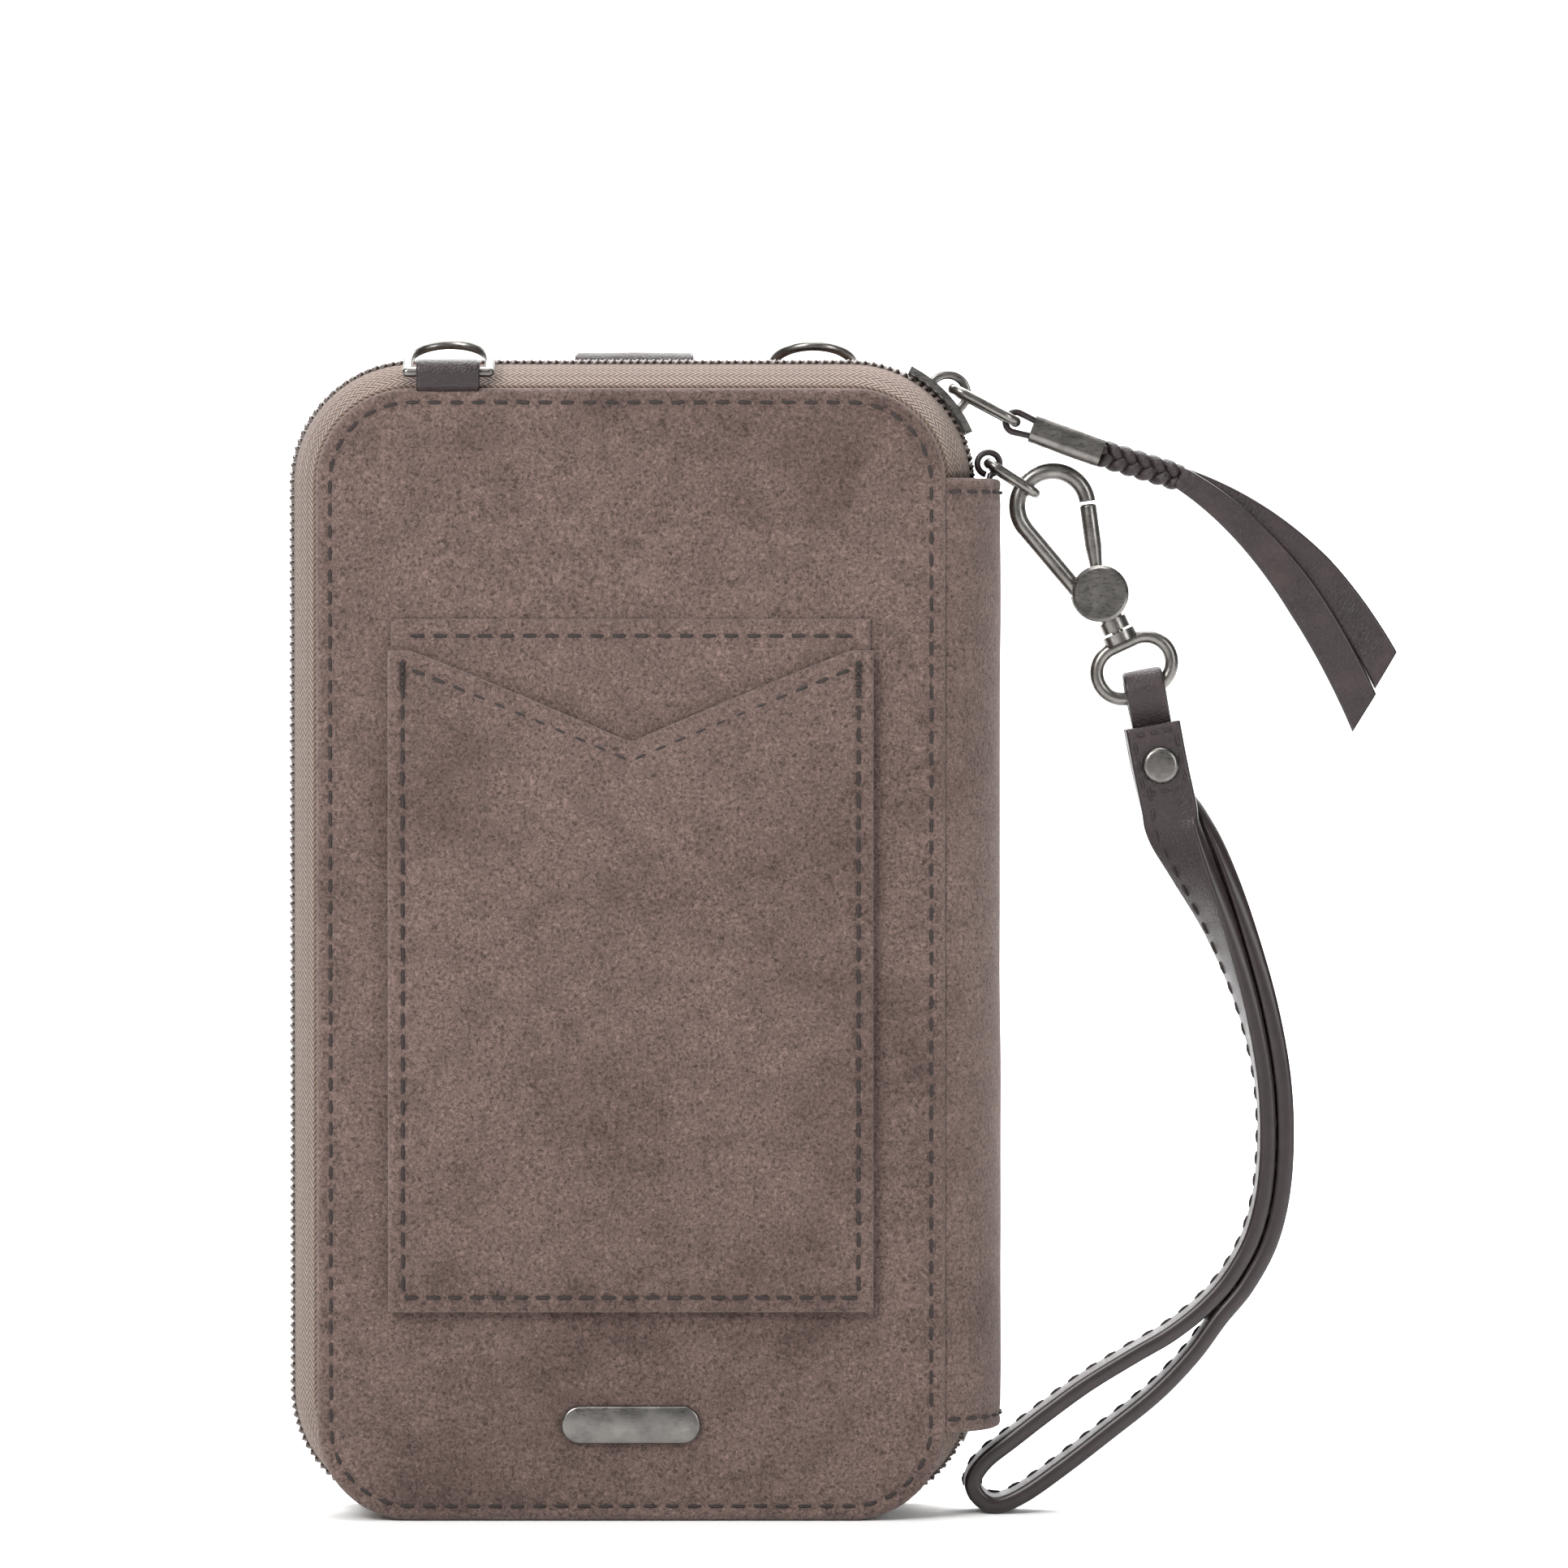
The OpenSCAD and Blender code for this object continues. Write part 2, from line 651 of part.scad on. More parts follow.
// The bow runs from its nose over the top and down its arm to the disc.
module hook_body() {
  r = hook_wire / 2;
  heel = hook_at + bow_r * [cos(heel_a), sin(heel_a)];
  arm_dir = [-sin(heel_a), cos(heel_a)];
  color(nickel) {
    wire_arc(hook_at, bow_r, r, nose_a, heel_a);
    difference() {
      union() {
        wire(heel - 0.5 * arm_dir, heel + arm_len * arm_dir, 0.97 * r);
        at(pivot_at) y_bar(disc_r - 0.2, 2 * body_half_y);
        at(pivot_at, swivel_a) rotate([0, 90, 0]) {
          cylinder(r = body_half_y - 0.05, h = neck_end);
          translate([0, 0, disc_r + 0.1]) cylinder(r = neck_r, h = neck_end - disc_r - 0.1);
        }
      }
      at(pivot_at) y_bar(gate_slot_r, slot_w_y);
      at(pivot_at, 66) translate([0, -slot_w_y / 2, -gate_slot_r])
        cube([disc_r + 3, slot_w_y, 2 * gate_slot_r + 1.6]);
      at(pivot_at, swivel_a) rotate([0, 90, 0]) cylinder(r = post_r + run_fit, h = neck_end + 1);
      at(pivot_at) y_bar(pin_r, 6);
    }
  }
}

// Two domed caps close the disc; the gate's pin is riveted into them.
module hook_caps() {
  color(nickel) difference() {
    for (s = [-1, 1]) at(pivot_at, 0, s * body_half_y) rotate([-90 * s, 0, 0]) rotate_extrude()
      polygon([[0, 0], [disc_r, 0], [disc_r, cap_t - 0.4], [disc_r - 0.5, cap_t], [0, cap_t]]);
    at(pivot_at) y_bar(pin_r, 2 * (body_half_y + cap_t / 2));
  }
}

module gate_pin() { color(nickel) at(pivot_at) y_bar(pin_r, 2 * (body_half_y + cap_t / 2)); }

module gate() {
  nose = hook_at + bow_r * [cos(nose_a), sin(nose_a)];
  d = nose - pivot_at;
  reach = norm(d) - hook_wire / 2 - clear;
  color(nickel) difference() {
    union() {
      at(pivot_at) y_bar(gate_slot_r - clear, gate_w);
      at(pivot_at, atan2(d[1], d[0])) translate([0, -gate_w / 2, -gate_w / 2])
        cube([reach, gate_w, gate_w]);
    }
    at(pivot_at) y_bar(pin_r + run_fit, 4);
  }
}

// A washer spring beside the gate's hub.
module gate_spring() {
  color(nickel) at(pivot_at, 0, 1.23) rotate([90, 0, 0]) difference() {
    cylinder(r = 1.9, h = 0.15, center = true);
    cylinder(r = pin_r + run_fit, h = 1, center = true);
  }
}

// The post turns in the hook's neck and carries the strap's eye.
module swivel_eye() {
  color(nickel) at(pivot_at, swivel_a) {
    rotate([0, 90, 0]) translate([0, 0, gate_slot_r + 0.2])
      cylinder(r = post_r, h = neck_end + clear + 0.5 - gate_slot_r);
    rotate([0, 90, 0]) translate([0, 0, neck_end + clear]) cylinder(r = collar_r, h = collar_t);
  }
  color(nickel) at(eye_at, swivel_a) rotate([90, 0, 0]) {
    for (s = [-1, 1]) {
      translate([0, s * eye_len / 2, 0]) rotate([0, 0, s > 0 ? 0 : 180])
        rotate_extrude(angle = 180) translate([eye_r, 0]) circle(eye_wire / 2);
      translate([s * eye_r, -eye_len / 2, 0]) rotate([-90, 0, 0])
        cylinder(r = eye_wire / 2, h = eye_len);
    }
  }
}

// ---------- wrist strap ----------

tab_dir = [cos(tab_a), sin(tab_a)];
strap_top = eye_bar + 5.5 * tab_dir;
spine_x = half_w + spine_bulge;
lap_gap = fold_t + 0.15;

// The doubled strap as [x, z, turn, half gap]: face on at the rivet, edge on below.
pair = [
  [strap_top[0], strap_top[1], 0, lap_gap], [strap_top[0] + 1.2, strap_top[1] - 6.4, 0, lap_gap],
  [strap_top[0] + 2.8, strap_top[1] - 13, -4, lap_gap + 0.05],
  for (q = [[28.5, 110, -25, 0.9], [31.9, 104, -48, 0.5], [36.7, 94, -70, 0.2], [41.3, 81, -84, 0.15],
            [43.9, 68, -90, 0.15], [44, 55, -90, 0.15], [42.1, 45, -90, 0.15],
            [38.3, 37.5, -90, 0.15], [33.9, 32.2, -90, 0.25]])
    [spine_x + q[0], q[1], q[2], q[3]]
];

// The loop for the wrist as [x, z], from the front run round to the rear one.
wrist = [
  for (q = [[27.2, 28.8], [21.4, 25.4], [13.9, 20.8], [7.7, 16.3], [1.9, 11.8], [-2.5, 8.3],
            [-4.5, 5], [-3.3, 2.3], [-0.5, strap_t / 2], [3.7, 3], [9.7, 7.2], [17.2, 13],
            [24.9, 19.2], [30.8, 25.4]])
    [spine_x + q[0], q[1]]
];

function flat(v) = [v[0], 0, v[1]];
function unit(v) = v / norm(v);
function along(p, i) = unit(p[min(i + 1, len(p) - 1)] - p[max(i - 1, 0)]);

// One run's stations, as [x, y, z] and the direction of the strap's width.
function run(side) = [
  for (i = [0:len(pair) - 1])
    let (t = along([for (q = pair) [q[0], q[1]]], i), turn = pair[i][2],
         s = [-t[1], 0, t[0]], y = [0, 1, 0],
         w = cos(turn) * s + sin(turn) * y, n = -sin(turn) * s + cos(turn) * y,
         c = flat(pair[i]) + side * (strap_t / 2 + pair[i][3]) * n)
      concat(c, w)
];
function reversed(p) = [for (i = [len(p) - 1:-1:0]) p[i]];
function blend(a, b, c, d, t) = 0.5 * (2 * b + (c - a) * t + (2 * a - 5 * b + 4 * c - d) * t * t
  + (3 * b - a - 3 * c + d) * t * t * t);
function smooth(p, k) = concat([
  for (i = [0:len(p) - 2], j = [0:k - 1])
    blend(p[max(i - 1, 0)], p[i], p[i + 1], p[min(i + 2, len(p) - 1)], j / k)
], [p[len(p) - 1]]);

stations = smooth(concat(run(-1), [for (q = wrist) concat(flat(q), [0, -1, 0])], reversed(run(1))), 3);
spots = [for (q = stations) [q[0], q[1], q[2]]];
widths = [for (q = stations) unit([q[3], q[4], q[5]])];

module band(w, t) {
  rings = [
    for (i = [0:len(spots) - 1])
      let (n = unit(cross(along(spots, i), widths[i])), a = widths[i] * w / 2, b = n * t / 2)
        each [spots[i] + a + b, spots[i] - a + b, spots[i] - a - b, spots[i] + a - b]
  ];
  last = len(spots) - 1;
  polyhedron(rings, concat(
    [[0, 1, 2, 3], [4 * last + 3, 4 * last + 2, 4 * last + 1, 4 * last]],
    [for (i = [0:last - 1], j = [0:3])
      let (a = 4 * i + j, b = 4 * i + (j + 1) % 4) each [[a, a + 4, b + 4], [a, b + 4, b]]]
  ), convexity = 6);
}

rivet_at = eye_bar + rivet_d * tab_dir;
stack_half = lap_gap + strap_t;

module wrist_strap() {
  color(oxblood) band(strap_w, strap_t);
}

// A short strip folded round the eye; both legs lie between the strap's ends.
module strap_tab() {
  color(oxblood) at(eye_bar, tab_a) difference() {
    translate([0, 0, -fold_w / 2]) {
      rotate([0, 0, 90]) rotate_extrude(angle = 180)
        translate([fold_r, 0]) square([fold_t, fold_w]);
      for (s = [0, 1]) mirror([0, s, 0]) linear_extrude(fold_w)
        polygon([[0, fold_r], [0, fold_r + fold_t], [5.4, fold_t + 0.05], [tab_len, fold_t + 0.05],
                 [tab_len, 0.05], [5.1, 0.05]]);
    }
    translate([rivet_d, 0, 0]) y_bar(rivet_r, 4 * fold_t);
  }
}

module strap_rivet() {
  color(nickel) at(rivet_at) {
    y_bar(rivet_r, 2 * stack_half);
    for (s = [-1, 1]) translate([0, s * stack_half, 0]) rotate([-90 * s, 0, 0]) rotate_extrude()
      polygon([[0, 0], [rivet_cap_r, 0], [rivet_cap_r, 0.3], [rivet_cap_r * 0.6, rivet_cap_t],
               [0, rivet_cap_t]]);
  }
}

front_panel();
front_board();
front_lining();
card_pocket_slip();
card_pocket_front();
emblem_plate();
front_wing();
front_zip_tape();
front_zip_coil();
front_ring_tab();
front_d_ring();
card_slot_lower();
card_slot_upper();
back_panel();
back_board();
back_lining();
phone_pocket();
pocket_snap_socket();
tab_anchor();
snap_tab();
tab_snap_stud();
back_wing();
back_zip_tape();
back_zip_coil();
rear_ring_tab();
rear_d_ring();
coin_pocket();
coin_zip_tape();
coin_zip_coil();
coin_zip_slider();
zip_end_stop();
spine_panel();
spine_stay();
spine_lining();
strap_loop();
zip_slider();
slider_bail();
pull_ring();
pull_thong();
pull_ferrule();
pull_braid();
pull_tail_front();
pull_tail_rear();
link_ring();
hook_body();
hook_caps();
gate_pin();
gate_spring();
gate();
swivel_eye();
wrist_strap();
strap_tab();
strap_rivet();
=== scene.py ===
"""Wristlet wallet: the soft goods, hardware finishes and stage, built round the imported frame."""

import json
import math

import bmesh
import bpy
from mathutils import Matrix, Vector, noise


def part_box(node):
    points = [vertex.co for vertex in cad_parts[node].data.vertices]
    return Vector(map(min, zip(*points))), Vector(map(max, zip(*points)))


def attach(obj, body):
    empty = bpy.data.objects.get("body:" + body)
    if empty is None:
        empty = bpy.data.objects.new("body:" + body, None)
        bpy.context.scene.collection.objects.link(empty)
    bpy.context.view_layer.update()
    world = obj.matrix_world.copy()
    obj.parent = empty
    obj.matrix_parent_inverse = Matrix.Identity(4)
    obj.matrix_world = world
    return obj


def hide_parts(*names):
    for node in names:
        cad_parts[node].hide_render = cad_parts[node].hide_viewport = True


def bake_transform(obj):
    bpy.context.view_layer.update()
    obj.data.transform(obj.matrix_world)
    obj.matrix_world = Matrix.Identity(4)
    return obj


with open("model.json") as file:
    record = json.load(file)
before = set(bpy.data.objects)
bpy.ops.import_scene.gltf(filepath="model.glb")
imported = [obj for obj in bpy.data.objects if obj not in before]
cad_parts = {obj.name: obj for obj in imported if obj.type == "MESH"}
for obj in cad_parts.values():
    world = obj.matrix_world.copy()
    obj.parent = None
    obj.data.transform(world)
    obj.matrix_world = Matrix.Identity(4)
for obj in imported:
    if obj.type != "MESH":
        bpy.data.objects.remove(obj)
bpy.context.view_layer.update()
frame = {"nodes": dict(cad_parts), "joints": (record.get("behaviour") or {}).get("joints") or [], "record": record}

bl_info = {
    "name": "Wristlet wallet",
    "version": (1, 0, 0),
    "blender": (4, 5, 0),
    "location": "View3D > Sidebar > Wallet",
    "description": "Builds a suede zip-around phone wallet with a leather wrist strap",
    "category": "Object",
}

MM = 0.001
FRONT, BACK = -1, 1


# ---------- measures taken from the frame ----------

def low(node):
    """Lowest corner of a frame node, in metres."""
    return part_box(node)[0]


def high(node):
    """Highest corner of a frame node, in metres."""
    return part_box(node)[1]


def middle(node):
    """Middle of a frame node's box, in metres."""
    lo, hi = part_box(node)
    return (lo + hi) / 2


def joint(name):
    """Place and axis of a frame joint."""
    j = [k for k in frame["joints"] if k["name"] == name][0]
    return Vector(j["pos_m"]), Vector(j["axis"]).normalized()


COVER_W = high("back_panel").x - low("back_panel").x
COVER_H = high("back_panel").z
COVER_Y = high("back_panel").y
COVER_IN = low("back_panel").y
CORNER = 15 * MM
RIM_FOOT = 5 * MM
COIL_OUT = high("back_zip_coil").z - COVER_H
SPINE_LOW = low("spine_panel").z
SPINE_TOP = high("spine_panel").z
SPINE_OUT = high("spine_panel").x
SPINE_HEM = 2.2 * MM
HALF_W = COVER_W / 2
ARC_X = HALF_W - CORNER
ARC_TOP = COVER_H - CORNER
ARC_LOW = RIM_FOOT + CORNER


# ---------- sizes and colours a user may change ----------

class WalletSizes(bpy.types.PropertyGroup):
    """Sizes of the sewing and the small soft parts."""

    stitch_pitch: bpy.props.FloatProperty(
        name="Stitch pitch", description="Length of one stitch and its gap",
        default=3.5 * MM, min=2 * MM, max=6 * MM, unit="LENGTH")
    stitch_inset: bpy.props.FloatProperty(
        name="Stitch inset", description="From a cover's edge to its seam",
        default=2.3 * MM, min=1.5 * MM, max=5 * MM, unit="LENGTH")
    thread: bpy.props.FloatProperty(
        name="Thread", description="Thickness of the sewing thread",
        default=0.58 * MM, min=0.2 * MM, max=1 * MM, unit="LENGTH")
    coil_pitch: bpy.props.FloatProperty(
        name="Coil pitch", description="Length of chain for each turn of the zip coil",
        default=1.3 * MM, min=0.8 * MM, max=2 * MM, unit="LENGTH")
    puff: bpy.props.FloatProperty(
        name="Puff", description="How far the covers crown between their edges",
        default=0.5 * MM, min=0, max=1.5 * MM, unit="LENGTH")


class WalletColours(bpy.types.PropertyGroup):
    """Colours of the materials."""

    suede: bpy.props.FloatVectorProperty(
        name="Suede", description="Taupe suede", subtype="COLOR", size=3,
        default=(0.147, 0.101, 0.089), min=0, max=1)
    leather: bpy.props.FloatVectorProperty(
        name="Leather", description="Dark oxblood leather", subtype="COLOR", size=3,
        default=(0.0215, 0.0112, 0.0118), min=0, max=1)
    nickel: bpy.props.FloatVectorProperty(
        name="Nickel", description="Antique nickel", subtype="COLOR", size=3,
        default=(0.182, 0.173, 0.163), min=0, max=1)
    tape: bpy.props.FloatVectorProperty(
        name="Zip tape", description="Woven zip tape", subtype="COLOR", size=3,
        default=(0.150, 0.096, 0.070), min=0, max=1)
    coil: bpy.props.FloatVectorProperty(
        name="Zip coil", description="Nylon coil", subtype="COLOR", size=3,
        default=(0.075, 0.055, 0.047), min=0, max=1)
    thread: bpy.props.FloatVectorProperty(
        name="Thread", description="Sewing thread", subtype="COLOR", size=3,
        default=(0.016, 0.011, 0.010), min=0, max=1)
    lining: bpy.props.FloatVectorProperty(
        name="Lining", description="Woven lining", subtype="COLOR", size=3,
        default=(0.10, 0.068, 0.055), min=0, max=1)


def sizes():
    """The sizes in use."""
    return bpy.context.scene.wallet_sizes


def colours():
    """The colours in use."""
    return bpy.context.scene.wallet_colours


# ---------- materials ----------

class Shader:
    """A small builder for one node material."""

    def __init__(self, name):
        self.material = bpy.data.materials.new(name)
        self.material.use_nodes = True
        self.tree = self.material.node_tree
        self.surface = self.tree.nodes["Principled BSDF"]
        self.coords = self.node("ShaderNodeTexCoord")

    def node(self, kind, **values):
        """Adds one node; names that are inputs set a value, others an option."""
        made = self.tree.nodes.new(kind)
        for key, value in values.items():
            if key in made.inputs:
                made.inputs[key].default_value = value
            else:
                setattr(made, key, value)
        return made

    def link(self, source, target):
        """Joins an output to an input."""
        self.tree.links.new(source, target)

    def set(self, **values):
        """Sets the shader's own sockets by name."""
        for key, value in values.items():
            self.surface.inputs[key.replace("_", " ")].default_value = value

    def where(self, uv=False):
        """The position on the piece, or along its own UV map."""
        return self.coords.outputs["UV" if uv else "Object"]

    def grain(self, scale, detail=2.0, rough=0.5, uv=False, stretch=None):
        """Noise of that many features per metre."""
        made = self.node("ShaderNodeTexNoise", Scale=scale, Detail=detail, Roughness=rough)
        source = self.where(uv)
        if stretch:
            turn = self.node("ShaderNodeMapping", Scale=stretch)
            self.link(source, turn.inputs["Vector"])
            source = turn.outputs["Vector"]
        self.link(source, made.inputs["Vector"])
        return made.outputs["Fac"]

    def ramp(self, source, stops):
        """Colours or greys laid along a 0 to 1 value."""
        made = self.node("ShaderNodeValToRGB")
        band = made.color_ramp
        while len(band.elements) < len(stops):
            band.elements.new(0.5)
        for element, (spot, shade) in zip(band.elements, stops):
            element.position = spot
            element.color = (*shade, 1) if hasattr(shade, "__len__") else (shade, shade, shade, 1)
        self.link(source, made.inputs["Fac"])
        return made.outputs["Color"]

    def maths(self, kind, a, b):
        """One Math node of two values or outputs."""
        made = self.node("ShaderNodeMath", operation=kind)
        for socket, value in zip(made.inputs, (a, b)):
            if isinstance(value, (int, float)):
                socket.default_value = value
            else:
                self.link(value, socket)
        return made.outputs[0]

    def mix(self, kind, amount, a, b):
        """Blends two colours."""
        made = self.node("ShaderNodeMixRGB", blend_type=kind)
        for socket, value in zip(made.inputs, (amount, a, b)):
            if isinstance(value, (int, float)):
                socket.default_value = value
            elif isinstance(value, tuple):
                socket.default_value = (*value, 1)
            else:
                self.link(value, socket)
        return made.outputs[0]

    def bump(self, *layers):
        """Each layer is a height, its depth in metres and a strength."""
        before = None
        for height, depth, strength in layers:
            made = self.node("ShaderNodeBump", Distance=depth, Strength=strength)
            self.link(height, made.inputs["Height"])
            if before:
                self.link(before, made.inputs["Normal"])
            before = made.outputs["Normal"]
        self.link(before, self.surface.inputs["Normal"])

    def colour(self, source):
        """Drives the base colour."""
        self.link(source, self.surface.inputs["Base Color"])

    def rough(self, source):
        """Drives the roughness."""
        self.link(source, self.surface.inputs["Roughness"])


def tint(colour, factor):
    """A colour made lighter or darker."""
    return tuple(min(1.0, c * factor) for c in colour)


def suede_material():
    """Short curled nap in fine specks, brushed into soft clouds."""
    s = Shader("suede")
    base = tuple(colours().suede)
    warp = s.node("ShaderNodeTexNoise", Scale=1500, Detail=1.0)
    s.link(s.where(), warp.inputs["Vector"])
    bend = s.node("ShaderNodeVectorMath", operation="MULTIPLY_ADD")
    s.link(warp.outputs["Color"], bend.inputs[0])
    bend.inputs[1].default_value = (0.0011, 0.0011, 0.0011)
    s.link(s.where(), bend.inputs[2])
    curls = s.node("ShaderNodeTexNoise", Scale=1900, Detail=3.0, Roughness=0.6)
    s.link(bend.outputs[0], curls.inputs["Vector"])
    curl = curls.outputs["Fac"]
    clouds = s.grain(42, detail=3, rough=0.55)
    patches = s.grain(190, detail=3, rough=0.6)
    fibres = s.grain(5200, detail=2, rough=0.6)
    nap = s.ramp(curl, [(0.34, tint(base, 0.40)), (0.45, tint(base, 0.82)),
                        (0.57, tint(base, 1.10)), (0.70, tint(base, 1.62))])
    brushed = s.ramp(clouds, [(0.33, (0.70, 0.68, 0.68)), (0.5, (0.93, 0.93, 0.93)), (0.66, (1, 1, 1))])
    rubbed = s.ramp(patches, [(0.32, (0.80, 0.80, 0.80)), (0.55, (1, 1, 1))])
    flecks = s.ramp(fibres, [(0.30, 0.62), (0.5, 0.95), (0.72, 1.0)])
    shade = s.mix("MULTIPLY", 1.0, s.mix("MULTIPLY", 1.0, nap, brushed), rubbed)
    s.colour(s.mix("MULTIPLY", 0.8, shade, flecks))
    s.bump((curl, 0.42 * MM, 0.95), (fibres, 0.16 * MM, 0.7))
    s.set(Roughness=0.97, Sheen_Weight=0.25, Sheen_Roughness=0.5, Sheen_Tint=(0.95, 0.85, 0.8, 1))
    s.surface.inputs["Specular IOR Level"].default_value = 0.1
    return s.material


def leather_material(name="leather", factor=1.0):
    """Fine pebbled leather with painted shade in the hollows between its pebbles, paler where it is worn."""
    s = Shader(name)
    base = tint(tuple(colours().leather), factor)
    pebbles = s.node("ShaderNodeTexVoronoi", Scale=1500, feature="DISTANCE_TO_EDGE")
    s.link(s.where(), pebbles.inputs["Vector"])
    pebble_relief_and_shade = s.ramp(pebbles.outputs["Distance"], [(0.0, 0.0), (0.18, 0.8), (0.5, 1.0)])
    wear = s.grain(160, detail=3)
    shade = s.ramp(wear, [(0.3, tint(base, 0.72)), (0.55, base), (0.75, tint(base, 1.7))])
    # painted shade: the pebble mask darkens the colour in the hollows between the pebbles
    s.colour(s.mix("MULTIPLY", 0.35, shade, pebble_relief_and_shade))
    s.rough(s.ramp(wear, [(0.3, 0.42), (0.7, 0.56)]))
    s.bump((pebble_relief_and_shade, 0.09 * MM, 0.55), (s.grain(700, detail=2), 0.12 * MM, 0.35))
    s.surface.inputs["Specular IOR Level"].default_value = 0.45
    return s.material


def nickel_material():
    """Aged nickel, with dull patches and short scratches."""
    s = Shader("nickel")
    base = tuple(colours().nickel)
    tarnish = s.grain(260, detail=4, rough=0.6)
    scratch = s.grain(900, detail=3, rough=0.7, stretch=(1, 0.25, 3.5))
    s.colour(s.ramp(tarnish, [(0.3, tint(base, 0.62)), (0.5, base), (0.72, tint(base, 1.25))]))
    s.rough(s.ramp(scratch, [(0.3, 0.24), (0.7, 0.40)]))
    s.bump((scratch, 0.02 * MM, 0.35))
    s.set(Metallic=1.0)
    return s.material


def tape_material():
    """Herringbone weave that follows the tape's own length, in UV metres."""
    s = Shader("zip_tape")
    base = tuple(colours().tape)
    parts = s.node("ShaderNodeSeparateXYZ")
    s.link(s.where(uv=True), parts.inputs[0])
    fold = s.maths("PINGPONG", parts.outputs["Y"], 1.25 * MM)
    slant = s.maths("ADD", parts.outputs["X"], fold)
    rib = s.maths("PINGPONG", s.maths("MULTIPLY", slant, 1 / (0.95 * MM)), 0.5)
    weave = s.maths("MULTIPLY", rib, 2.0)
    yarn = s.ramp(weave, [(0.1, tint(base, 0.30)), (0.4, tint(base, 0.85)), (0.85, tint(base, 1.5))])
    s.colour(s.mix("MULTIPLY", 0.5, yarn, s.ramp(s.grain(3000), [(0.3, 0.6), (0.6, 1.0)])))
    s.bump((weave, 0.3 * MM, 0.9))
    s.set(Roughness=0.85, Sheen_Weight=0.2)
    return s.material


def coil_material():
    """Smooth nylon wire."""
    s = Shader("zip_coil")
    base = tuple(colours().coil)
    s.colour(s.ramp(s.grain(300, detail=3), [(0.3, tint(base, 0.75)), (0.7, tint(base, 1.3))]))
    s.bump((s.grain(4000), 0.03 * MM, 0.3))
    s.set(Roughness=0.34)
    return s.material


def lining_material():
    """Woven lining cloth."""
    s = Shader("lining")
    base = tuple(colours().lining)
    warp = s.node("ShaderNodeTexWave", Scale=420, bands_direction="Z")
    weft = s.node("ShaderNodeTexWave", Scale=420, bands_direction="X")
    for made in (warp, weft):
        s.link(s.where(), made.inputs["Vector"])
    cloth = s.mix("MULTIPLY", 1.0, warp.outputs["Color"], weft.outputs["Color"])
    s.colour(s.ramp(cloth, [(0.0, tint(base, 0.6)), (0.6, base), (1.0, tint(base, 1.5))]))
    s.bump((cloth, 0.08 * MM, 0.6))
    s.set(Roughness=0.8, Sheen_Weight=0.15)
    return s.material


def board_material():
    """Stiff board."""
    s = Shader("board")
    s.colour(s.ramp(s.grain(700, detail=4), [(0.3, (0.26, 0.21, 0.15)), (0.7, (0.40, 0.33, 0.25))]))
    s.bump((s.grain(2400), 0.05 * MM, 0.4))
    s.set(Roughness=0.9)
    return s.material


def thread_material():
    """Twisted sewing thread."""
    s = Shader("thread")
    base = tuple(colours().thread)
    ply = s.grain(2600, detail=2)
    s.colour(s.ramp(ply, [(0.3, tint(base, 0.6)), (0.7, tint(base, 1.6))]))
    s.bump((ply, 0.06 * MM, 0.6))
    s.set(Roughness=0.75)
    return s.material


def edge_paint_material():
    """Painted edges of a leather strip."""
    s = Shader("edge_paint")
    base = tint(tuple(colours().leather), 0.6)
    s.colour(s.ramp(s.grain(500), [(0.3, tint(base, 0.8)), (0.7, tint(base, 1.3))]))
    s.bump((s.grain(1400), 0.05 * MM, 0.3))
    s.set(Roughness=0.36)
    return s.material


FINISHES = {
    "suede": suede_material, "leather": leather_material, "nickel": nickel_material,
    "zip_tape": tape_material, "zip_coil": coil_material, "lining": lining_material,
    "board": board_material, "thread": thread_material, "edge_paint": edge_paint_material,
}
made_finishes = {}


def finish(name):
    """The material of that name, made once."""
    if name not in made_finishes:
        made_finishes[name] = FINISHES[name]()
    return made_finishes[name]


# ---------- mesh helpers ----------

def place(obj, body, slot, *nodes):
    """Settles a finished piece on its body and hides the frame nodes it stands for; slot is not used."""
    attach(obj, body)
    if nodes:
        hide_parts(*nodes)
    return obj


def make_mesh(name, verts, faces, material, smooth=True, uvs=None):
    """An object at the origin from points in metres; uvs holds a pair for each point."""
    mesh = bpy.data.meshes.new(name)
    mesh.from_pydata([tuple(v) for v in verts], [], faces)
    if uvs:
        layer = mesh.uv_layers.new(name="UVMap")
        for loop in mesh.loops:
            layer.data[loop.index].uv = uvs[loop.vertex_index]
    mesh.update()
    obj = bpy.data.objects.new(name, mesh)
    bpy.context.scene.collection.objects.link(obj)
    obj.data.materials.append(material)
    for polygon in mesh.polygons:
        polygon.use_smooth = smooth
    return obj


def tidy(obj, merge=0.004 * MM):
    """Merges doubles and points every face outwards."""
    work = bmesh.new()
    work.from_mesh(obj.data)
    bmesh.ops.remove_doubles(work, verts=work.verts, dist=merge)
    bmesh.ops.recalc_face_normals(work, faces=work.faces)
    work.to_mesh(obj.data)
    work.free()
    return obj


def shell_faces(rows, columns):
    """Faces of a closed sheet: a grid, the same grid behind it turned round, and the border."""
    faces = grid_faces(rows, columns)
    back = rows * columns
    faces += [tuple(reversed([back + k for k in face])) for face in faces]
    border = (list(range(columns)) + [i * columns + columns - 1 for i in range(1, rows)]
              + [(rows - 1) * columns + j for j in range(columns - 2, -1, -1)]
              + [i * columns for i in range(rows - 2, 0, -1)])
    faces += [(b, a, back + a, back + b) for a, b in zip(border, border[1:] + border[:1])]
    return faces


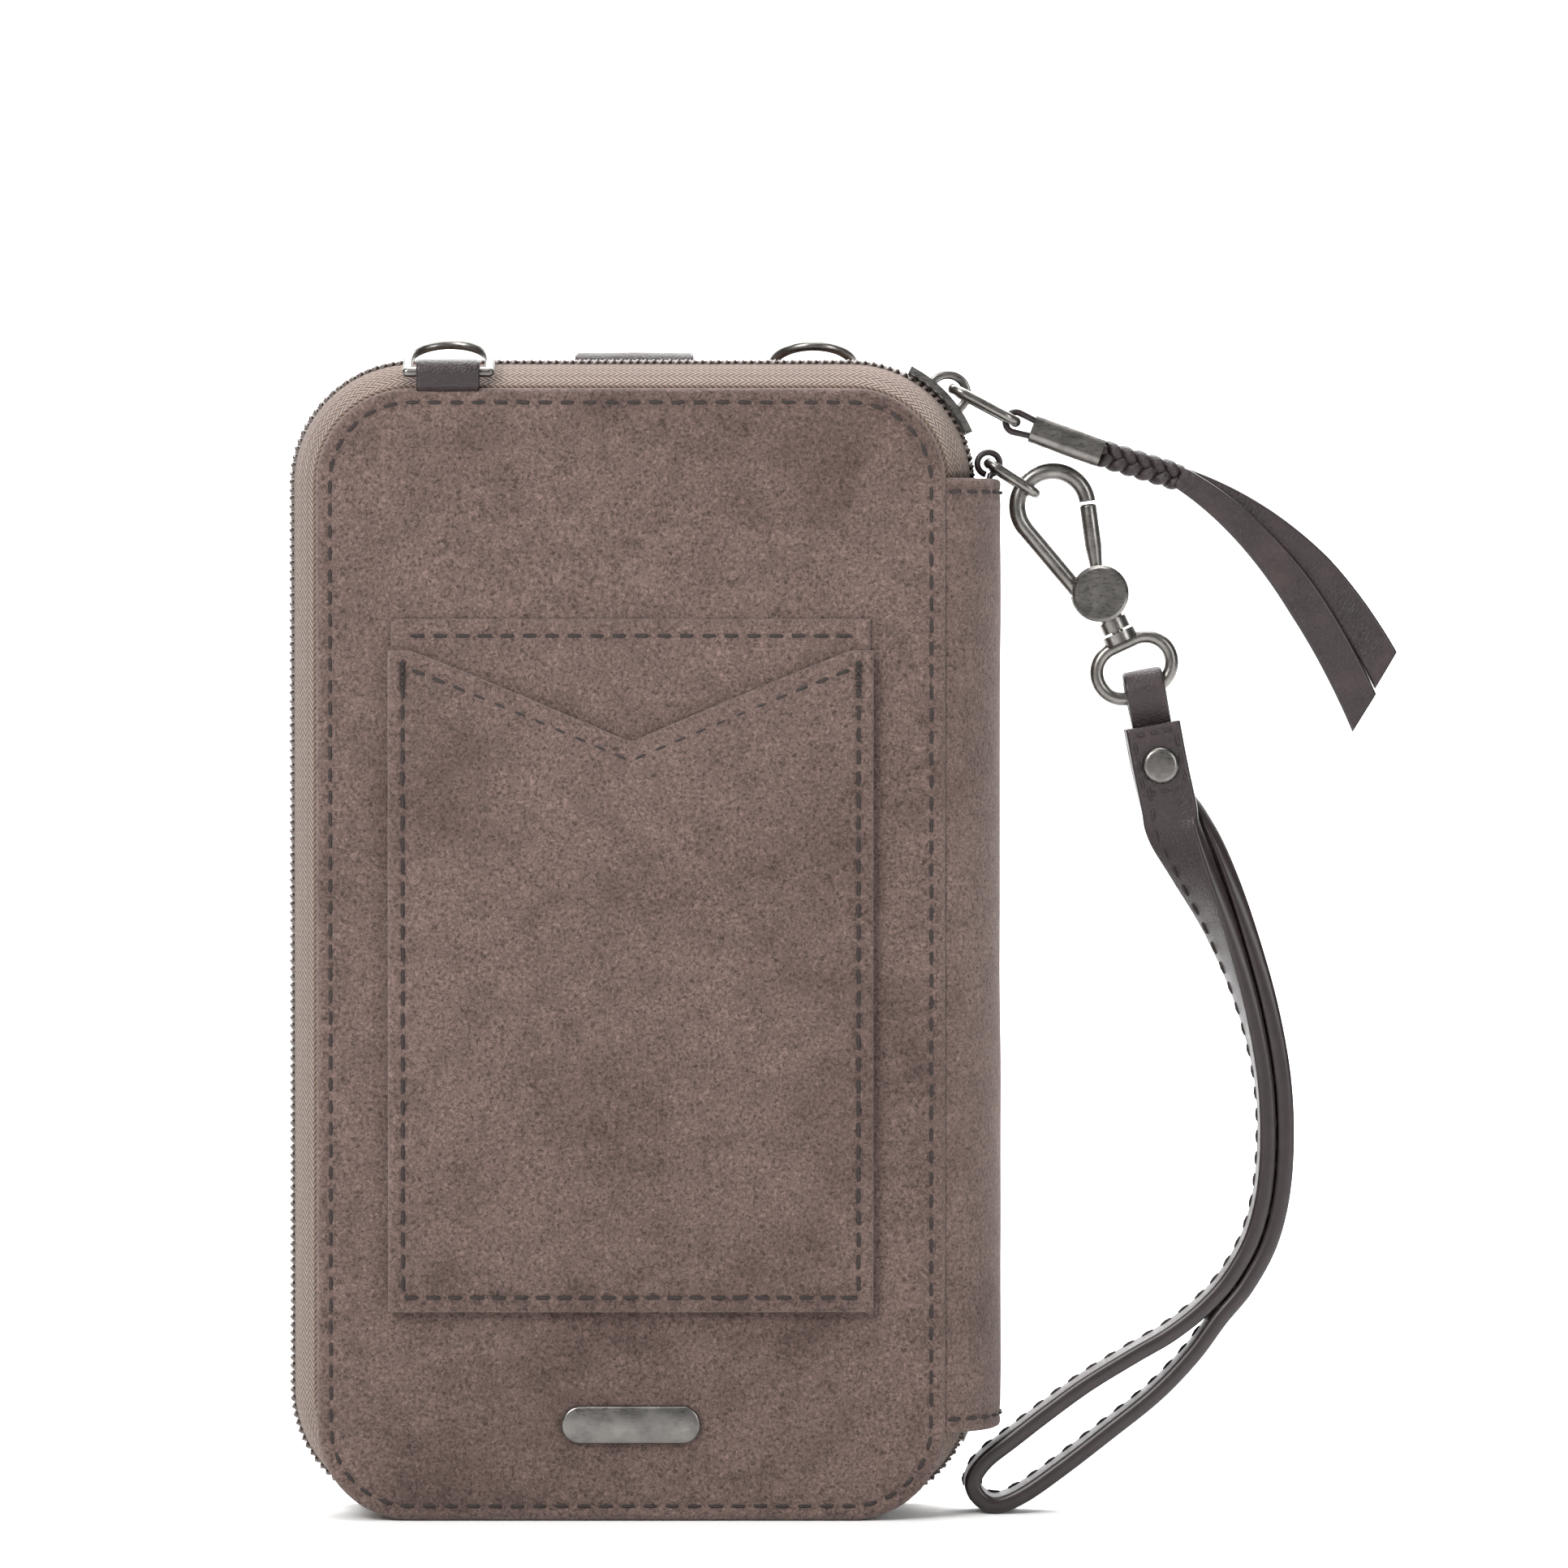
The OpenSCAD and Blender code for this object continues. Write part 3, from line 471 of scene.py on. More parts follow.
def grid_faces(rows, columns, around=False, ends=False):
    """Quads of a grid of points; around joins the last column to the first."""
    faces = []
    for i in range(rows - 1):
        for j in range(columns if around else columns - 1):
            k = (j + 1) % columns
            here, above = i * columns, (i + 1) * columns
            faces.append((here + j, here + k, above + k, above + j))
    if ends:
        faces.append(tuple(range(columns - 1, -1, -1)))
        faces.append(tuple((rows - 1) * columns + j for j in range(columns)))
    return faces


def ripple(p, size, depth, seed=0.0):
    """A smooth unevenness of that wavelength and depth."""
    return depth * noise.noise(Vector((p[0] / size + seed, p[1] / size, p[2] / size)))


def arc(cx, cz, r, a0, a1, steps):
    """Points of an arc in the XZ plane, with the outward direction."""
    points = []
    for i in range(steps + 1):
        a = math.radians(a0 + (a1 - a0) * i / steps)
        points.append((cx + r * math.cos(a), cz + r * math.sin(a), math.cos(a), math.sin(a)))
    return points


def resample(points, step, closed=False):
    """Even stations along (x, z, nx, nz) points: the same with the distance added."""
    if closed:
        points = points + [points[0]]
    runs = [0.0]
    for a, b in zip(points, points[1:]):
        runs.append(runs[-1] + math.hypot(b[0] - a[0], b[1] - a[1]))
    count = max(2, round(runs[-1] / step))
    out = []
    k = 0
    for i in range(count + (0 if closed else 1)):
        s = runs[-1] * i / count
        while k < len(runs) - 2 and runs[k + 1] < s:
            k += 1
        span = runs[k + 1] - runs[k]
        t = (s - runs[k]) / span if span > 1e-9 else 0
        out.append(tuple(a + (b - a) * t for a, b in zip(points[k], points[k + 1])) + (s,))
    return out


def cover_outline(inset=0.0, steps=16):
    """Outline of a cover, moved in by inset, anticlockwise from the right."""
    r = CORNER - inset
    corners = ((ARC_X, ARC_TOP, 0), (-ARC_X, ARC_TOP, 90), (-ARC_X, CORNER, 180), (ARC_X, CORNER, 270))
    return [p for x, z, a in corners for p in arc(x, z, r, a, a + 90, steps)]


def rim_outline(out=0.0, steps=20):
    """The zip's path round three sides, moved out by out, from the spine's top."""
    r = CORNER + out
    gap_top = math.degrees(math.asin((SPINE_TOP - ARC_TOP) / (CORNER + COIL_OUT)))
    gap_low = math.degrees(math.asin((ARC_LOW - SPINE_LOW) / (CORNER + COIL_OUT)))
    return (arc(ARC_X, ARC_TOP, r, gap_top, 90, steps) + arc(-ARC_X, ARC_TOP, r, 90, 180, steps)
            + arc(-ARC_X, ARC_LOW, r, 180, 270, steps)
            + arc(ARC_X, ARC_LOW, r, 270, 360 - gap_low, steps))


# ---------- stitches ----------

def seam(name, path, body, thick=None, pitch=None):
    """A row of stitches along (point, outward) pairs, lying half sunk; returned unplaced if body is None."""
    sides = 6
    pitch = pitch or sizes().stitch_pitch
    radius = (thick or sizes().thread) / 2
    runs = [0.0]
    for (a, _), (b, _) in zip(path, path[1:]):
        runs.append(runs[-1] + (b - a).length)
    count = max(1, round(runs[-1] / pitch))
    step = runs[-1] / count
    verts, faces = [], []

    def point(s):
        k = 0
        while k < len(runs) - 2 and runs[k + 1] < s:
            k += 1
        t = (s - runs[k]) / max(runs[k + 1] - runs[k], 1e-9)
        return path[k][0].lerp(path[k + 1][0], t), path[k][1].lerp(path[k + 1][1], t)

    for i in range(count):
        a, b = (i + 0.14) * step, (i + 0.86) * step
        rings = []
        for t, sink, girth in ((0.0, -1.3, 0.35), (0.12, -0.1, 0.9), (0.5, 0.35, 1.0),
                               (0.88, -0.1, 0.9), (1.0, -1.3, 0.35)):
            p, out = point(a + (b - a) * t)
            q, _ = point(a + (b - a) * t + 0.1 * MM)
            along = (q - p).normalized() if (q - p).length > 1e-9 else Vector((0, 0, 1))
            side = along.cross(out).normalized()
            rings.append((p + out * radius * sink, side, out.normalized(), radius * girth))
        first = len(verts)
        for p, side, out, girth in rings:
            for k in range(sides):
                a2 = 2 * math.pi * k / sides
                verts.append(p + side * math.cos(a2) * girth + out * math.sin(a2) * girth)
        for face in grid_faces(len(rings), sides, around=True, ends=True):
            faces.append(tuple(first + k for k in face))
    obj = tidy(make_mesh(name, verts, faces, finish("thread")), merge=0.001 * MM)
    if body is None:
        return obj
    return place(obj, body, "leather")


# ---------- covers ----------

def groove(d, centre, width, depth):
    """How far a seam pulls the surface in, at distance d from the edge."""
    return -depth * math.exp(-((d - centre) / width) ** 2)


def cover_height(x, z, d, seed):
    """Suede surface above its board, in metres, at distance d in from the edge."""
    edge = 1.35 * MM
    if d < edge:
        k = 1 - d / edge
        rise = -edge * (1 - math.sqrt(max(0.0, 1 - k * k)))
    else:
        rise = 0.0
    rise += groove(d, sizes().stitch_inset, 0.75 * MM, 0.28 * MM)
    full = min(1.0, max(0.0, (d - 4 * MM) / (30 * MM)))
    rise += sizes().puff * full * (2 - full)
    rise += ripple((x, 0, z), 34 * MM, 0.22 * MM, seed) * min(1.0, d / (8 * MM))
    rise += ripple((x, 0, z), 11 * MM, 0.05 * MM, seed + 7) * min(1.0, d / (3 * MM))
    return rise


def rim_distance(x, z):
    """Distance in from a cover's outline."""
    dx = abs(x) - ARC_X
    dz = max(z - ARC_TOP, CORNER - z)
    if dx > 0 and dz > 0:
        return CORNER - math.hypot(dx, dz)
    return min(HALF_W - abs(x), COVER_H - z, z)


def cover(name, side, body, node, seed):
    """A suede shell: a turned edge, a seam, a crowned face and a recess for the board."""
    wall = COVER_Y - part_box("back_board")[1].y
    lip = 1.5 * MM
    outline = resample(cover_outline(), 1.5 * MM, closed=True)
    count = len(outline)
    verts = []
    for inset, y in ((lip, COVER_Y - wall), (lip, COVER_IN + 0.2 * MM), (lip - 0.2 * MM, COVER_IN),
                     (0.3 * MM, COVER_IN), (0.08 * MM, COVER_IN + 0.1 * MM),
                     (0.0, COVER_IN + 0.3 * MM)):
        verts += [(x - nx * inset, side * y, z - nz * inset) for x, z, nx, nz, _ in outline]
    rings = [[(x - nx * k * MM, z - nz * k * MM) for x, z, nx, nz, _ in outline]
             for k in (0.0, 0.05, 0.15, 0.35, 0.65, 1.0, 1.35, 1.7, 2.0, 2.3, 2.6, 2.9, 3.3, 4,
                       5.2, 7, 9, 11.5, 14.2)]
    core = rings[-1]
    for k in range(1, 16):
        rings.append([(x * (1 - k / 16), z + (min(max(z, 52 * MM), 128 * MM) - z) * k / 16)
                      for x, z in core])
    for ring in rings:
        for x, z in ring:
            d = max(0.0, rim_distance(x, z))
            verts.append((x, side * (COVER_Y + cover_height(x, z, d, seed)), z))
    total = len(verts) // count
    faces = grid_faces(total, count, around=True, ends=True)
    obj = tidy(make_mesh(name, verts, faces, finish("suede")), merge=0.001 * MM)
    place(obj, body, "suede", node)
    inset = sizes().stitch_inset
    path = [(Vector((x, side * (COVER_Y + cover_height(x, z, inset, seed)), z)), Vector((0, side, 0)))
            for x, z, *_ in resample(cover_outline(inset), 1.2 * MM, closed=True)]
    seam(name + "_seam", path + path[:1], body)
    return obj


# ---------- flat pockets ----------

def flat_pocket(name, side, body, node, box, back_y, thick, top=None, bulge=0.0, seed=0.0,
                material="suede", columns=96, rows=128):
    """A sewn-down panel with soft rounded edges; top gives the height of its upper edge at x."""
    (x0, z0), (x1, z1) = box
    top = top or (lambda x: z1)
    r = thick * 0.55
    verts = []
    us = spread(columns)
    vs = spread(rows)
    for v in vs:
        for u in us:
            x = x0 + (x1 - x0) * u
            hi = top(x)
            z = z0 + (hi - z0) * v
            d = min(x - x0, x1 - x, z - z0, hi - z)
            sewn = min(x - x0, x1 - x, z - z0)
            k = max(0.0, 1 - d / r)
            y = back_y + thick - r * (1 - math.sqrt(max(0.0, 1 - k * k)))
            y += groove(sewn, 2.4 * MM, 0.7 * MM, 0.22 * MM)
            y += bulge * min(1.0, max(0.0, sewn - 3 * MM) / (14 * MM))
            y += ripple((x, 0, z), 26 * MM, 0.14 * MM, seed) * min(1.0, d / (6 * MM))
            verts.append((x, side * y, z))
    verts += [(x, side * back_y, z) for x, _, z in verts]
    faces = shell_faces(len(vs), len(us))
    obj = tidy(make_mesh(name, verts, faces, finish(material)), merge=0.001 * MM)
    return place(obj, body, material, node)


def spread(count):
    """0 to 1 with close steps near both ends."""
    edge = [0.0, 0.0015, 0.004, 0.008, 0.013, 0.019, 0.026, 0.034, 0.043]
    inner = [0.043 + (1 - 0.086) * k / (count - 17) for k in range(1, count - 17)]
    return edge + inner + [1 - e for e in reversed(edge)]


def line(a, b, out, step=1.5 * MM):
    """A straight seam's path between two points."""
    n = max(2, round((b - a).length / step))
    return [(a.lerp(b, k / n), out) for k in range(n + 1)]


def pocket_seams(name, side, body, box, y, inset, top_z, bar=True):
    """Three sewn sides of a pocket, and a bar-tack at each upper corner."""
    (x0, z0), (x1, _) = box
    out = Vector((0, side, 0))
    a, b = Vector((x0 + inset, side * y, top_z)), Vector((x0 + inset, side * y, z0 + inset))
    c, d = Vector((x1 - inset, side * y, z0 + inset)), Vector((x1 - inset, side * y, top_z))
    path = line(a, b, out) + line(b, c, out)[1:] + line(c, d, out)[1:]
    seam(name, path, body)
    if bar:
        for tag, x in (("left", x0 + inset), ("right", x1 - inset)):
            p = Vector((x, side * (y + 0.1 * MM), top_z - 0.4 * MM))
            seam(f"{name}_tack_{tag}", line(p, p - Vector((0, 0, 4.2 * MM)), out), body,
                 thick=0.95 * MM, pitch=1.05 * MM)


# ---------- spine ----------

def spine_profile(samples=40):
    """Half the spine's outer arc from the cover's edge to the middle, with normals."""
    bulge = SPINE_OUT - HALF_W
    chord = COVER_Y - 1 * MM
    r = (bulge * bulge + chord * chord) / (2 * bulge)
    cx = HALF_W + bulge - r
    a0 = math.atan2(chord, HALF_W - cx)
    points = []
    for k in range(samples + 1):
        a = a0 * (1 - k / samples)
        points.append((cx + r * math.cos(a), r * math.sin(a), math.cos(a), math.sin(a)))
    return points


def spine_suede(name, side):
    """Half of the spine's suede with its wing, from the cover's edge to past the middle."""
    wall = 1.15 * MM
    points = spine_profile()
    rows = spread(110)
    verts = []
    for inset in (0.0, wall):
        for v in rows:
            z = SPINE_LOW + (SPINE_TOP - SPINE_LOW) * v
            hem = min(z - SPINE_LOW, SPINE_TOP - z)
            for x, y, nx, ny in points:
                out = 0.0
                if not inset:
                    q = max(0.0, 1 - hem / (0.9 * MM))
                    out -= 0.6 * MM * (1 - math.sqrt(max(0.0, 1 - q * q)))
                    out += groove(hem, SPINE_HEM, 0.7 * MM, 0.22 * MM)
                    out += ripple((x, y, z), 22 * MM, 0.22 * MM, 3.0) * min(1.0, hem / (10 * MM))
                verts.append((x + nx * (out - inset), side * (y + ny * (out - inset)), z))
    faces = shell_faces(len(rows), len(points))
    obj = tidy(make_mesh(name, verts, faces, finish("suede")), merge=0.001 * MM)
    return obj


def spine_hem(name, side, z):
    """The dark stitches across one end of the spine, which bend with it."""
    path = [(Vector((x + nx * 0.02 * MM, side * (y + ny * 0.02 * MM), z)), Vector((nx, side * ny, 0)))
            for x, y, nx, ny in spine_profile()]
    return seam(name, path, None)


# ---------- zip ----------

def zip_tape(name, side, body, node):
    """A woven strip along the rim, drawn flat in UV so that the weave follows it."""
    y_in = COVER_IN
    y_edge = 2.4 * MM
    out_edge = COIL_OUT - 0.9 * MM
    path = resample(rim_outline(0.0), 1.1 * MM)
    profile = []
    steps = 16
    for k in range(steps + 1):
        t = k / steps
        y = y_in + (y_edge - y_in) * t
        o = 0.35 * MM + (out_edge - 0.35 * MM + 0.3 * MM) * t + 0.55 * MM * math.sin(math.pi * t)
        profile.append((o, y))
    profile = [(-4.2 * MM, y_in - 0.05 * MM), (-0.9 * MM, y_in - 0.05 * MM)] + profile
    under = [(o - 0.62 * MM, y - 0.45 * MM) for o, y in reversed(profile)]
    ring = profile + under
    runs = [0.0]
    for a, b in zip(ring, ring[1:]):
        runs.append(runs[-1] + math.hypot(b[0] - a[0], b[1] - a[1]))
    verts, uvs = [], []
    for x, z, nx, nz, s in path:
        for (o, y), r in zip(ring, runs):
            verts.append((x + nx * o, side * y, z + nz * o))
            uvs.append((s, r))
    faces = grid_faces(len(path), len(ring), around=True, ends=True)
    obj = make_mesh(name, verts, faces, finish("zip_tape"), uvs=uvs)
    tidy(obj, merge=0.001 * MM)
    return place(obj, body, "zip_tape", node)


def zip_coil(name, side, body, node):
    """The coil as one helix along the rim; the two coils' turns pass between each other."""
    pitch = sizes().coil_pitch
    path = resample(rim_outline(COIL_OUT - 0.9 * MM), 0.2 * MM)
    length = path[-1][4]
    turns = round(length / pitch)
    per = 10
    wire = 0.36 * MM
    verts = []
    total = turns * per
    spots = []
    for k in range(total + 1):
        s = length * k / total
        i = min(len(path) - 1, int(round(s / length * (len(path) - 1))))
        x, z, nx, nz, _ = path[i]
        a = 2 * math.pi * k / per + (math.pi if side < 0 else 0.0)
        out = 0.82 * MM * math.cos(a)
        y = 1.45 * MM + 1.1 * MM * math.sin(a)
        spots.append(Vector((x + nx * out, side * y, z + nz * out)))
    for k, p in enumerate(spots):
        q, r = spots[max(0, k - 1)], spots[min(total, k + 1)]
        along = (r - q).normalized()
        side_way = along.cross(Vector((0, 1, 0.01))).normalized()
        other = along.cross(side_way).normalized()
        for j in range(4):
            b = 2 * math.pi * j / 4
            verts.append(p + side_way * wire * math.cos(b) + other * wire * math.sin(b))
    obj = make_mesh(name, verts, grid_faces(total + 1, 4, around=True, ends=True), finish("zip_coil"))
    tidy(obj, merge=0.0005 * MM)
    return place(obj, body, "zip_coil", node)


# ---------- leather strips ----------

def strip(name, stations, width, thick, material="leather", crown=0.12):
    """A leather band through (point, width direction, face direction) stations, with soft edges."""
    half, t = width / 2, thick / 2
    soft = min(t * 0.8, 0.55 * MM)
    section = []
    for u in (-1, -0.6, 0, 0.6, 1):
        section.append((u * (half - soft), t * (1 + crown * (1 - u * u))))
    for a in (60, 30, 0, -30, -60):
        section.append((half - soft + soft * math.cos(math.radians(a)),
                        (t - soft) * (a / 60 if a else 0) + soft * math.sin(math.radians(a))))
    for u in (1, 0.6, 0, -0.6, -1):
        section.append((u * (half - soft), -t * (1 + crown * (1 - u * u))))
    for a in (240, 210, 180, 150, 120):
        section.append((-half + soft + soft * math.cos(math.radians(a)),
                        (t - soft) * ((180 - a) / 60) + soft * math.sin(math.radians(a))))
    verts = []
    for p, w, n in stations:
        for a, b in section:
            verts.append(p + w * a + n * b)
    count = len(section)
    faces = grid_faces(len(stations), count, around=True, ends=True)
    obj = make_mesh(name, verts, faces, finish(material))
    if material == "leather":
        obj.data.materials.append(finish("edge_paint"))
        for polygon in obj.data.polygons:
            column = polygon.index % count
            if polygon.index >= len(faces) - 2 or 4 <= column <= 9 or 14 <= column <= 19:
                polygon.material_index = 1
    tidy(obj, merge=0.001 * MM)
    return obj


def catmull(points, steps):
    """A smooth run through tuples of numbers."""
    out = []
    n = len(points)
    for i in range(n - 1):
        p0, p1 = points[max(0, i - 1)], points[i]
        p2, p3 = points[i + 1], points[min(n - 1, i + 2)]
        for k in range(steps):
            t = k / steps
            out.append(tuple(0.5 * (2 * b + (c - a) * t + (2 * a - 5 * b + 4 * c - d) * t * t
                                    + (3 * b - a - 3 * c + d) * t ** 3)
                             for a, b, c, d in zip(p0, p1, p2, p3)))
    out.append(tuple(points[-1]))
    return out


# ---------- wrist strap ----------

STRAP_T = 2.6 * MM
STRAP_HANG = -79
PAIR = [(0, 0, 0, 1.25), (1.2, -6.4, 0, 1.25), (2.8, -13, -4, 1.3)]
PAIR_LOW = [(28.5, 110, -25, .9), (31.9, 104, -48, .5), (36.7, 94, -70, .2), (41.3, 81, -84, .15),
            (43.9, 68, -90, .15), (44, 55, -90, .15), (42.1, 45, -90, .15), (38.3, 37.5, -90, .15),
            (33.9, 32.2, -90, .25)]
WRIST = [(27.2, 28.8), (21.4, 25.4), (13.9, 20.8), (7.7, 16.3), (1.9, 11.8), (-2.5, 8.3), (-4.5, 5),
         (-3.3, 2.3), (-0.5, 1.3), (3.7, 3), (9.7, 7.2), (17.2, 13), (24.9, 19.2), (30.8, 25.4)]


def strap_stations():
    """The strap's whole path as (point, width, face)."""
    bar, _ = joint("strap_swing")
    top = local(bar, STRAP_HANG)(5.5 * MM, 0)
    spots = [(top.x + x * MM, top.z + z * MM, t, g * MM) for x, z, t, g in PAIR]
    spots += [(SPINE_OUT + x * MM, z * MM, t, g * MM) for x, z, t, g in PAIR_LOW]

    def run(side):
        out = []
        for i, (x, z, turn, gap) in enumerate(spots):
            a, b = spots[max(0, i - 1)], spots[min(len(spots) - 1, i + 1)]
            t = Vector((b[0] - a[0], 0, b[1] - a[1])).normalized()
            s, y = Vector((-t.z, 0, t.x)), Vector((0, 1, 0))
            c, k = math.cos(math.radians(turn)), math.sin(math.radians(turn))
            w, n = s * c + y * k, y * c - s * k
            out.append((*(Vector((x, 0, z)) + n * side * (STRAP_T / 2 + gap)), *w))
        return out

    loop = [(SPINE_OUT + x * MM, 0.0, z * MM, 0.0, -1.0, 0.0) for x, z in WRIST]
    path = catmull(run(-1) + loop + run(1)[::-1], 7)
    stations = []
    for i, q in enumerate(path):
        p = Vector(q[:3])
        a, b = Vector(path[max(0, i - 1)][:3]), Vector(path[min(len(path) - 1, i + 1)][:3])
        t = (b - a).normalized()
        w = Vector(q[3:])
        w = (w - t * w.dot(t)).normalized()
        stations.append((p, w, t.cross(w).normalized()))
    return stations


def strap_seam(name, stations, offset, face):
    """A stitch line along one face of the strap, short of its two ends."""
    path = [(p + w * offset + n * face * STRAP_T / 2 * 1.04, n * face) for p, w, n in stations[6:-6]]
    return seam(name, path, "strap")


# ---------- hard pieces, shaped with Blender's own tools ----------

def begin(add, size=(1, 1, 1), **values):
    """Adds one primitive, settles its place and size into its mesh and opens it for editing."""
    bpy.ops.object.select_all(action="DESELECT")
    add(**values)
    bpy.context.object.scale = size
    bpy.ops.object.transform_apply(location=True, rotation=True, scale=True)
    bpy.ops.object.mode_set(mode="EDIT")
    return bpy.context.object


def pick(obj, kind, test):
    """Selects only the faces or edges that pass a test."""
    bpy.ops.mesh.select_mode(type=kind)
    bpy.ops.mesh.select_all(action="DESELECT")
    work = bmesh.from_edit_mesh(obj.data)
    for part in (work.faces if kind == "FACE" else work.edges):
        if test(part):
            part.select_set(True)
    bmesh.update_edit_mesh(obj.data)


def level(point, axis, height):
    """A test for edges that lie in the plane at one height along an axis."""
    return lambda edge: all(abs((v.co - point).dot(axis) - height) < 0.01 * MM for v in edge.verts)


def end(obj, name, material, body, slot, node=None, soften=0.0):
    """Closes a piece, rounds what edges are left, names it and places it."""
    bpy.ops.mesh.select_all(action="SELECT")
    bpy.ops.mesh.remove_doubles(threshold=0.002 * MM)
    bpy.ops.mesh.normals_make_consistent(inside=False)
    bpy.ops.object.mode_set(mode="OBJECT")
    if soften:
        bevel = obj.modifiers.new("soften", "BEVEL")
        bevel.width, bevel.segments, bevel.limit_method = soften, 3, "ANGLE"
        bevel.angle_limit = math.radians(50)
        bpy.ops.object.modifier_apply(modifier=bevel.name)
    obj.name = obj.data.name = name
    obj.data.materials.append(finish(material))
    bpy.ops.object.shade_smooth_by_angle(angle=math.radians(35))
    return place(obj, body, slot, *([node] if node else []))


def disc(point, axis, radius, depth, vertices=40):
    """A short cylinder that stands on a point, opened for editing."""
    turn = axis.to_track_quat("Z", "Y").to_euler()
    return begin(bpy.ops.mesh.primitive_cylinder_add, vertices=vertices, radius=radius, depth=depth,
                 location=point + axis * depth / 2, rotation=turn)


def emblem_bar():
    """A plain rounded bar of metal low on the front cover."""
    lo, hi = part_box("emblem_plate")
    size = hi - lo
    obj = begin(bpy.ops.mesh.primitive_cube_add, size=size / 2, location=(lo + hi) / 2)
    pick(obj, "EDGE", lambda e: abs((e.verts[0].co - e.verts[1].co).y) > size.y / 2)
    bpy.ops.mesh.bevel(offset=size.z / 2 - 0.2 * MM, segments=9, affect="EDGES")
    pick(obj, "EDGE", level(lo, Vector((0, 1, 0)), 0))
    bpy.ops.mesh.bevel(offset=0.45 * MM, segments=3, affect="EDGES")
    end(obj, "emblem_bar", "nickel", "front_half", "nickel", "emblem_plate")


def rivet_dome(tag, point, axis):
    """One domed end of the strap's rivet."""
    depth = 0.96 * MM
    obj = disc(point, axis, 2.95 * MM, depth)
    pick(obj, "EDGE", level(point, axis, depth))
    bpy.ops.mesh.bevel(offset=0.8 * MM, segments=5, affect="EDGES")
    pick(obj, "FACE", lambda f: f.normal.dot(axis) > 0.99 and f.calc_area() > 1 * MM * MM)
    bpy.ops.mesh.inset(thickness=1.0 * MM, depth=0.09 * MM)
    end(obj, f"strap_rivet_{tag}", "nickel", "strap", "nickel")


def snap_socket():
    """The dished cap of the snap on the phone pocket."""
    lo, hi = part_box("pocket_snap_socket")
    point, axis, depth = Vector((0, lo.y, (lo.z + hi.z) / 2)), Vector((0, 1, 0)), 0.75 * MM
    obj = disc(point, axis, 5.5 * MM, depth, vertices=48)
    pick(obj, "EDGE", level(point, axis, depth))
    bpy.ops.mesh.bevel(offset=0.45 * MM, segments=4, affect="EDGES")
    pick(obj, "FACE", lambda f: f.normal.dot(axis) > 0.99 and f.calc_area() > 1 * MM * MM)
    bpy.ops.mesh.inset(thickness=1.6 * MM, depth=0)
    bpy.ops.mesh.inset(thickness=0.45 * MM, depth=-0.3 * MM)
    end(obj, "snap_socket", "nickel", "back_half", "nickel", "pocket_snap_socket")


def gate_bar():
    """The hook's gate, a round bar from inside the disc up to the nose."""
    pivot, _ = joint("gate_swing")
    centre = Vector((pivot.x - 7.6 * MM, 0, pivot.z + 14 * MM))
    nose = centre + Vector((math.cos(math.radians(8)), 0, math.sin(math.radians(8)))) * 5.65 * MM
    along = (nose - pivot).normalized()
    reach = (nose - pivot).length - 0.42 * MM
    shoulder, foot = 0.54 * reach, 0.25 * reach
    obj = disc(pivot + along * shoulder, along, 1.35 * MM, reach - shoulder, vertices=28)
    pick(obj, "FACE", lambda f: f.normal.dot(along) < -0.99)
    bpy.ops.mesh.extrude_region_move(TRANSFORM_OT_translate={"value": along * (foot - shoulder)})
    bpy.ops.transform.resize(value=(0.7, 0.7, 0.7), center_override=pivot + along * foot)
    pick(obj, "EDGE", level(pivot, along, reach))
    bpy.ops.mesh.bevel(offset=0.45 * MM, segments=4, affect="EDGES")
    end(obj, "gate_bar", "nickel", "gate", "nickel", "gate")


def bail_bow():
    """The slider's bail, whose feet sink into its curved back."""
    hub, _ = joint("pull_link_swing")
    at = local(hub, 43)
    sunk, foot, r = -1.15 * MM, 0.7 * MM, 3.05 * MM
    across = Vector((0, 1, 0))
    out = (at(1, 0, 0) - at(0, 0, 0)).normalized()
    turn = Matrix((across.cross(out), across, out)).transposed().to_euler()
    obj = begin(bpy.ops.mesh.primitive_plane_add, size=(0.7 * MM, 1.2 * MM, 1),
                location=at(sunk - foot, 0, -r), rotation=turn)
    bpy.ops.mesh.select_all(action="SELECT")
    bpy.ops.mesh.extrude_region_move(TRANSFORM_OT_translate={"value": out * foot})
    bpy.ops.mesh.spin(steps=24, angle=math.pi, center=at(sunk, 0, 0), axis=across)
    bpy.ops.mesh.extrude_region_move(TRANSFORM_OT_translate={"value": -out * foot})
    end(obj, "slider_bail_bow", "nickel", "slider", "nickel", "slider_bail", soften=0.4 * MM)


# ---------- small leather parts ----------

def lace(name, points, radius, body, node, sides=12, flat=1.0):
    """A round or oval leather cord through points; flat squeezes it."""
    verts = []
    for k, p in enumerate(points):
        along = (points[min(len(points) - 1, k + 1)] - points[max(0, k - 1)]).normalized()
        u = along.cross(Vector((0, 1, 0))).normalized()
        v = along.cross(u).normalized()
        for j in range(sides):
            t = 2 * math.pi * j / sides
            verts.append(p + u * math.cos(t) * radius + v * math.sin(t) * radius * flat)
    faces = grid_faces(len(points), sides, around=True, ends=True)
    obj = tidy(make_mesh(name, verts, faces, finish("leather")), merge=0.001 * MM)
    return place(obj, body, "leather", node)


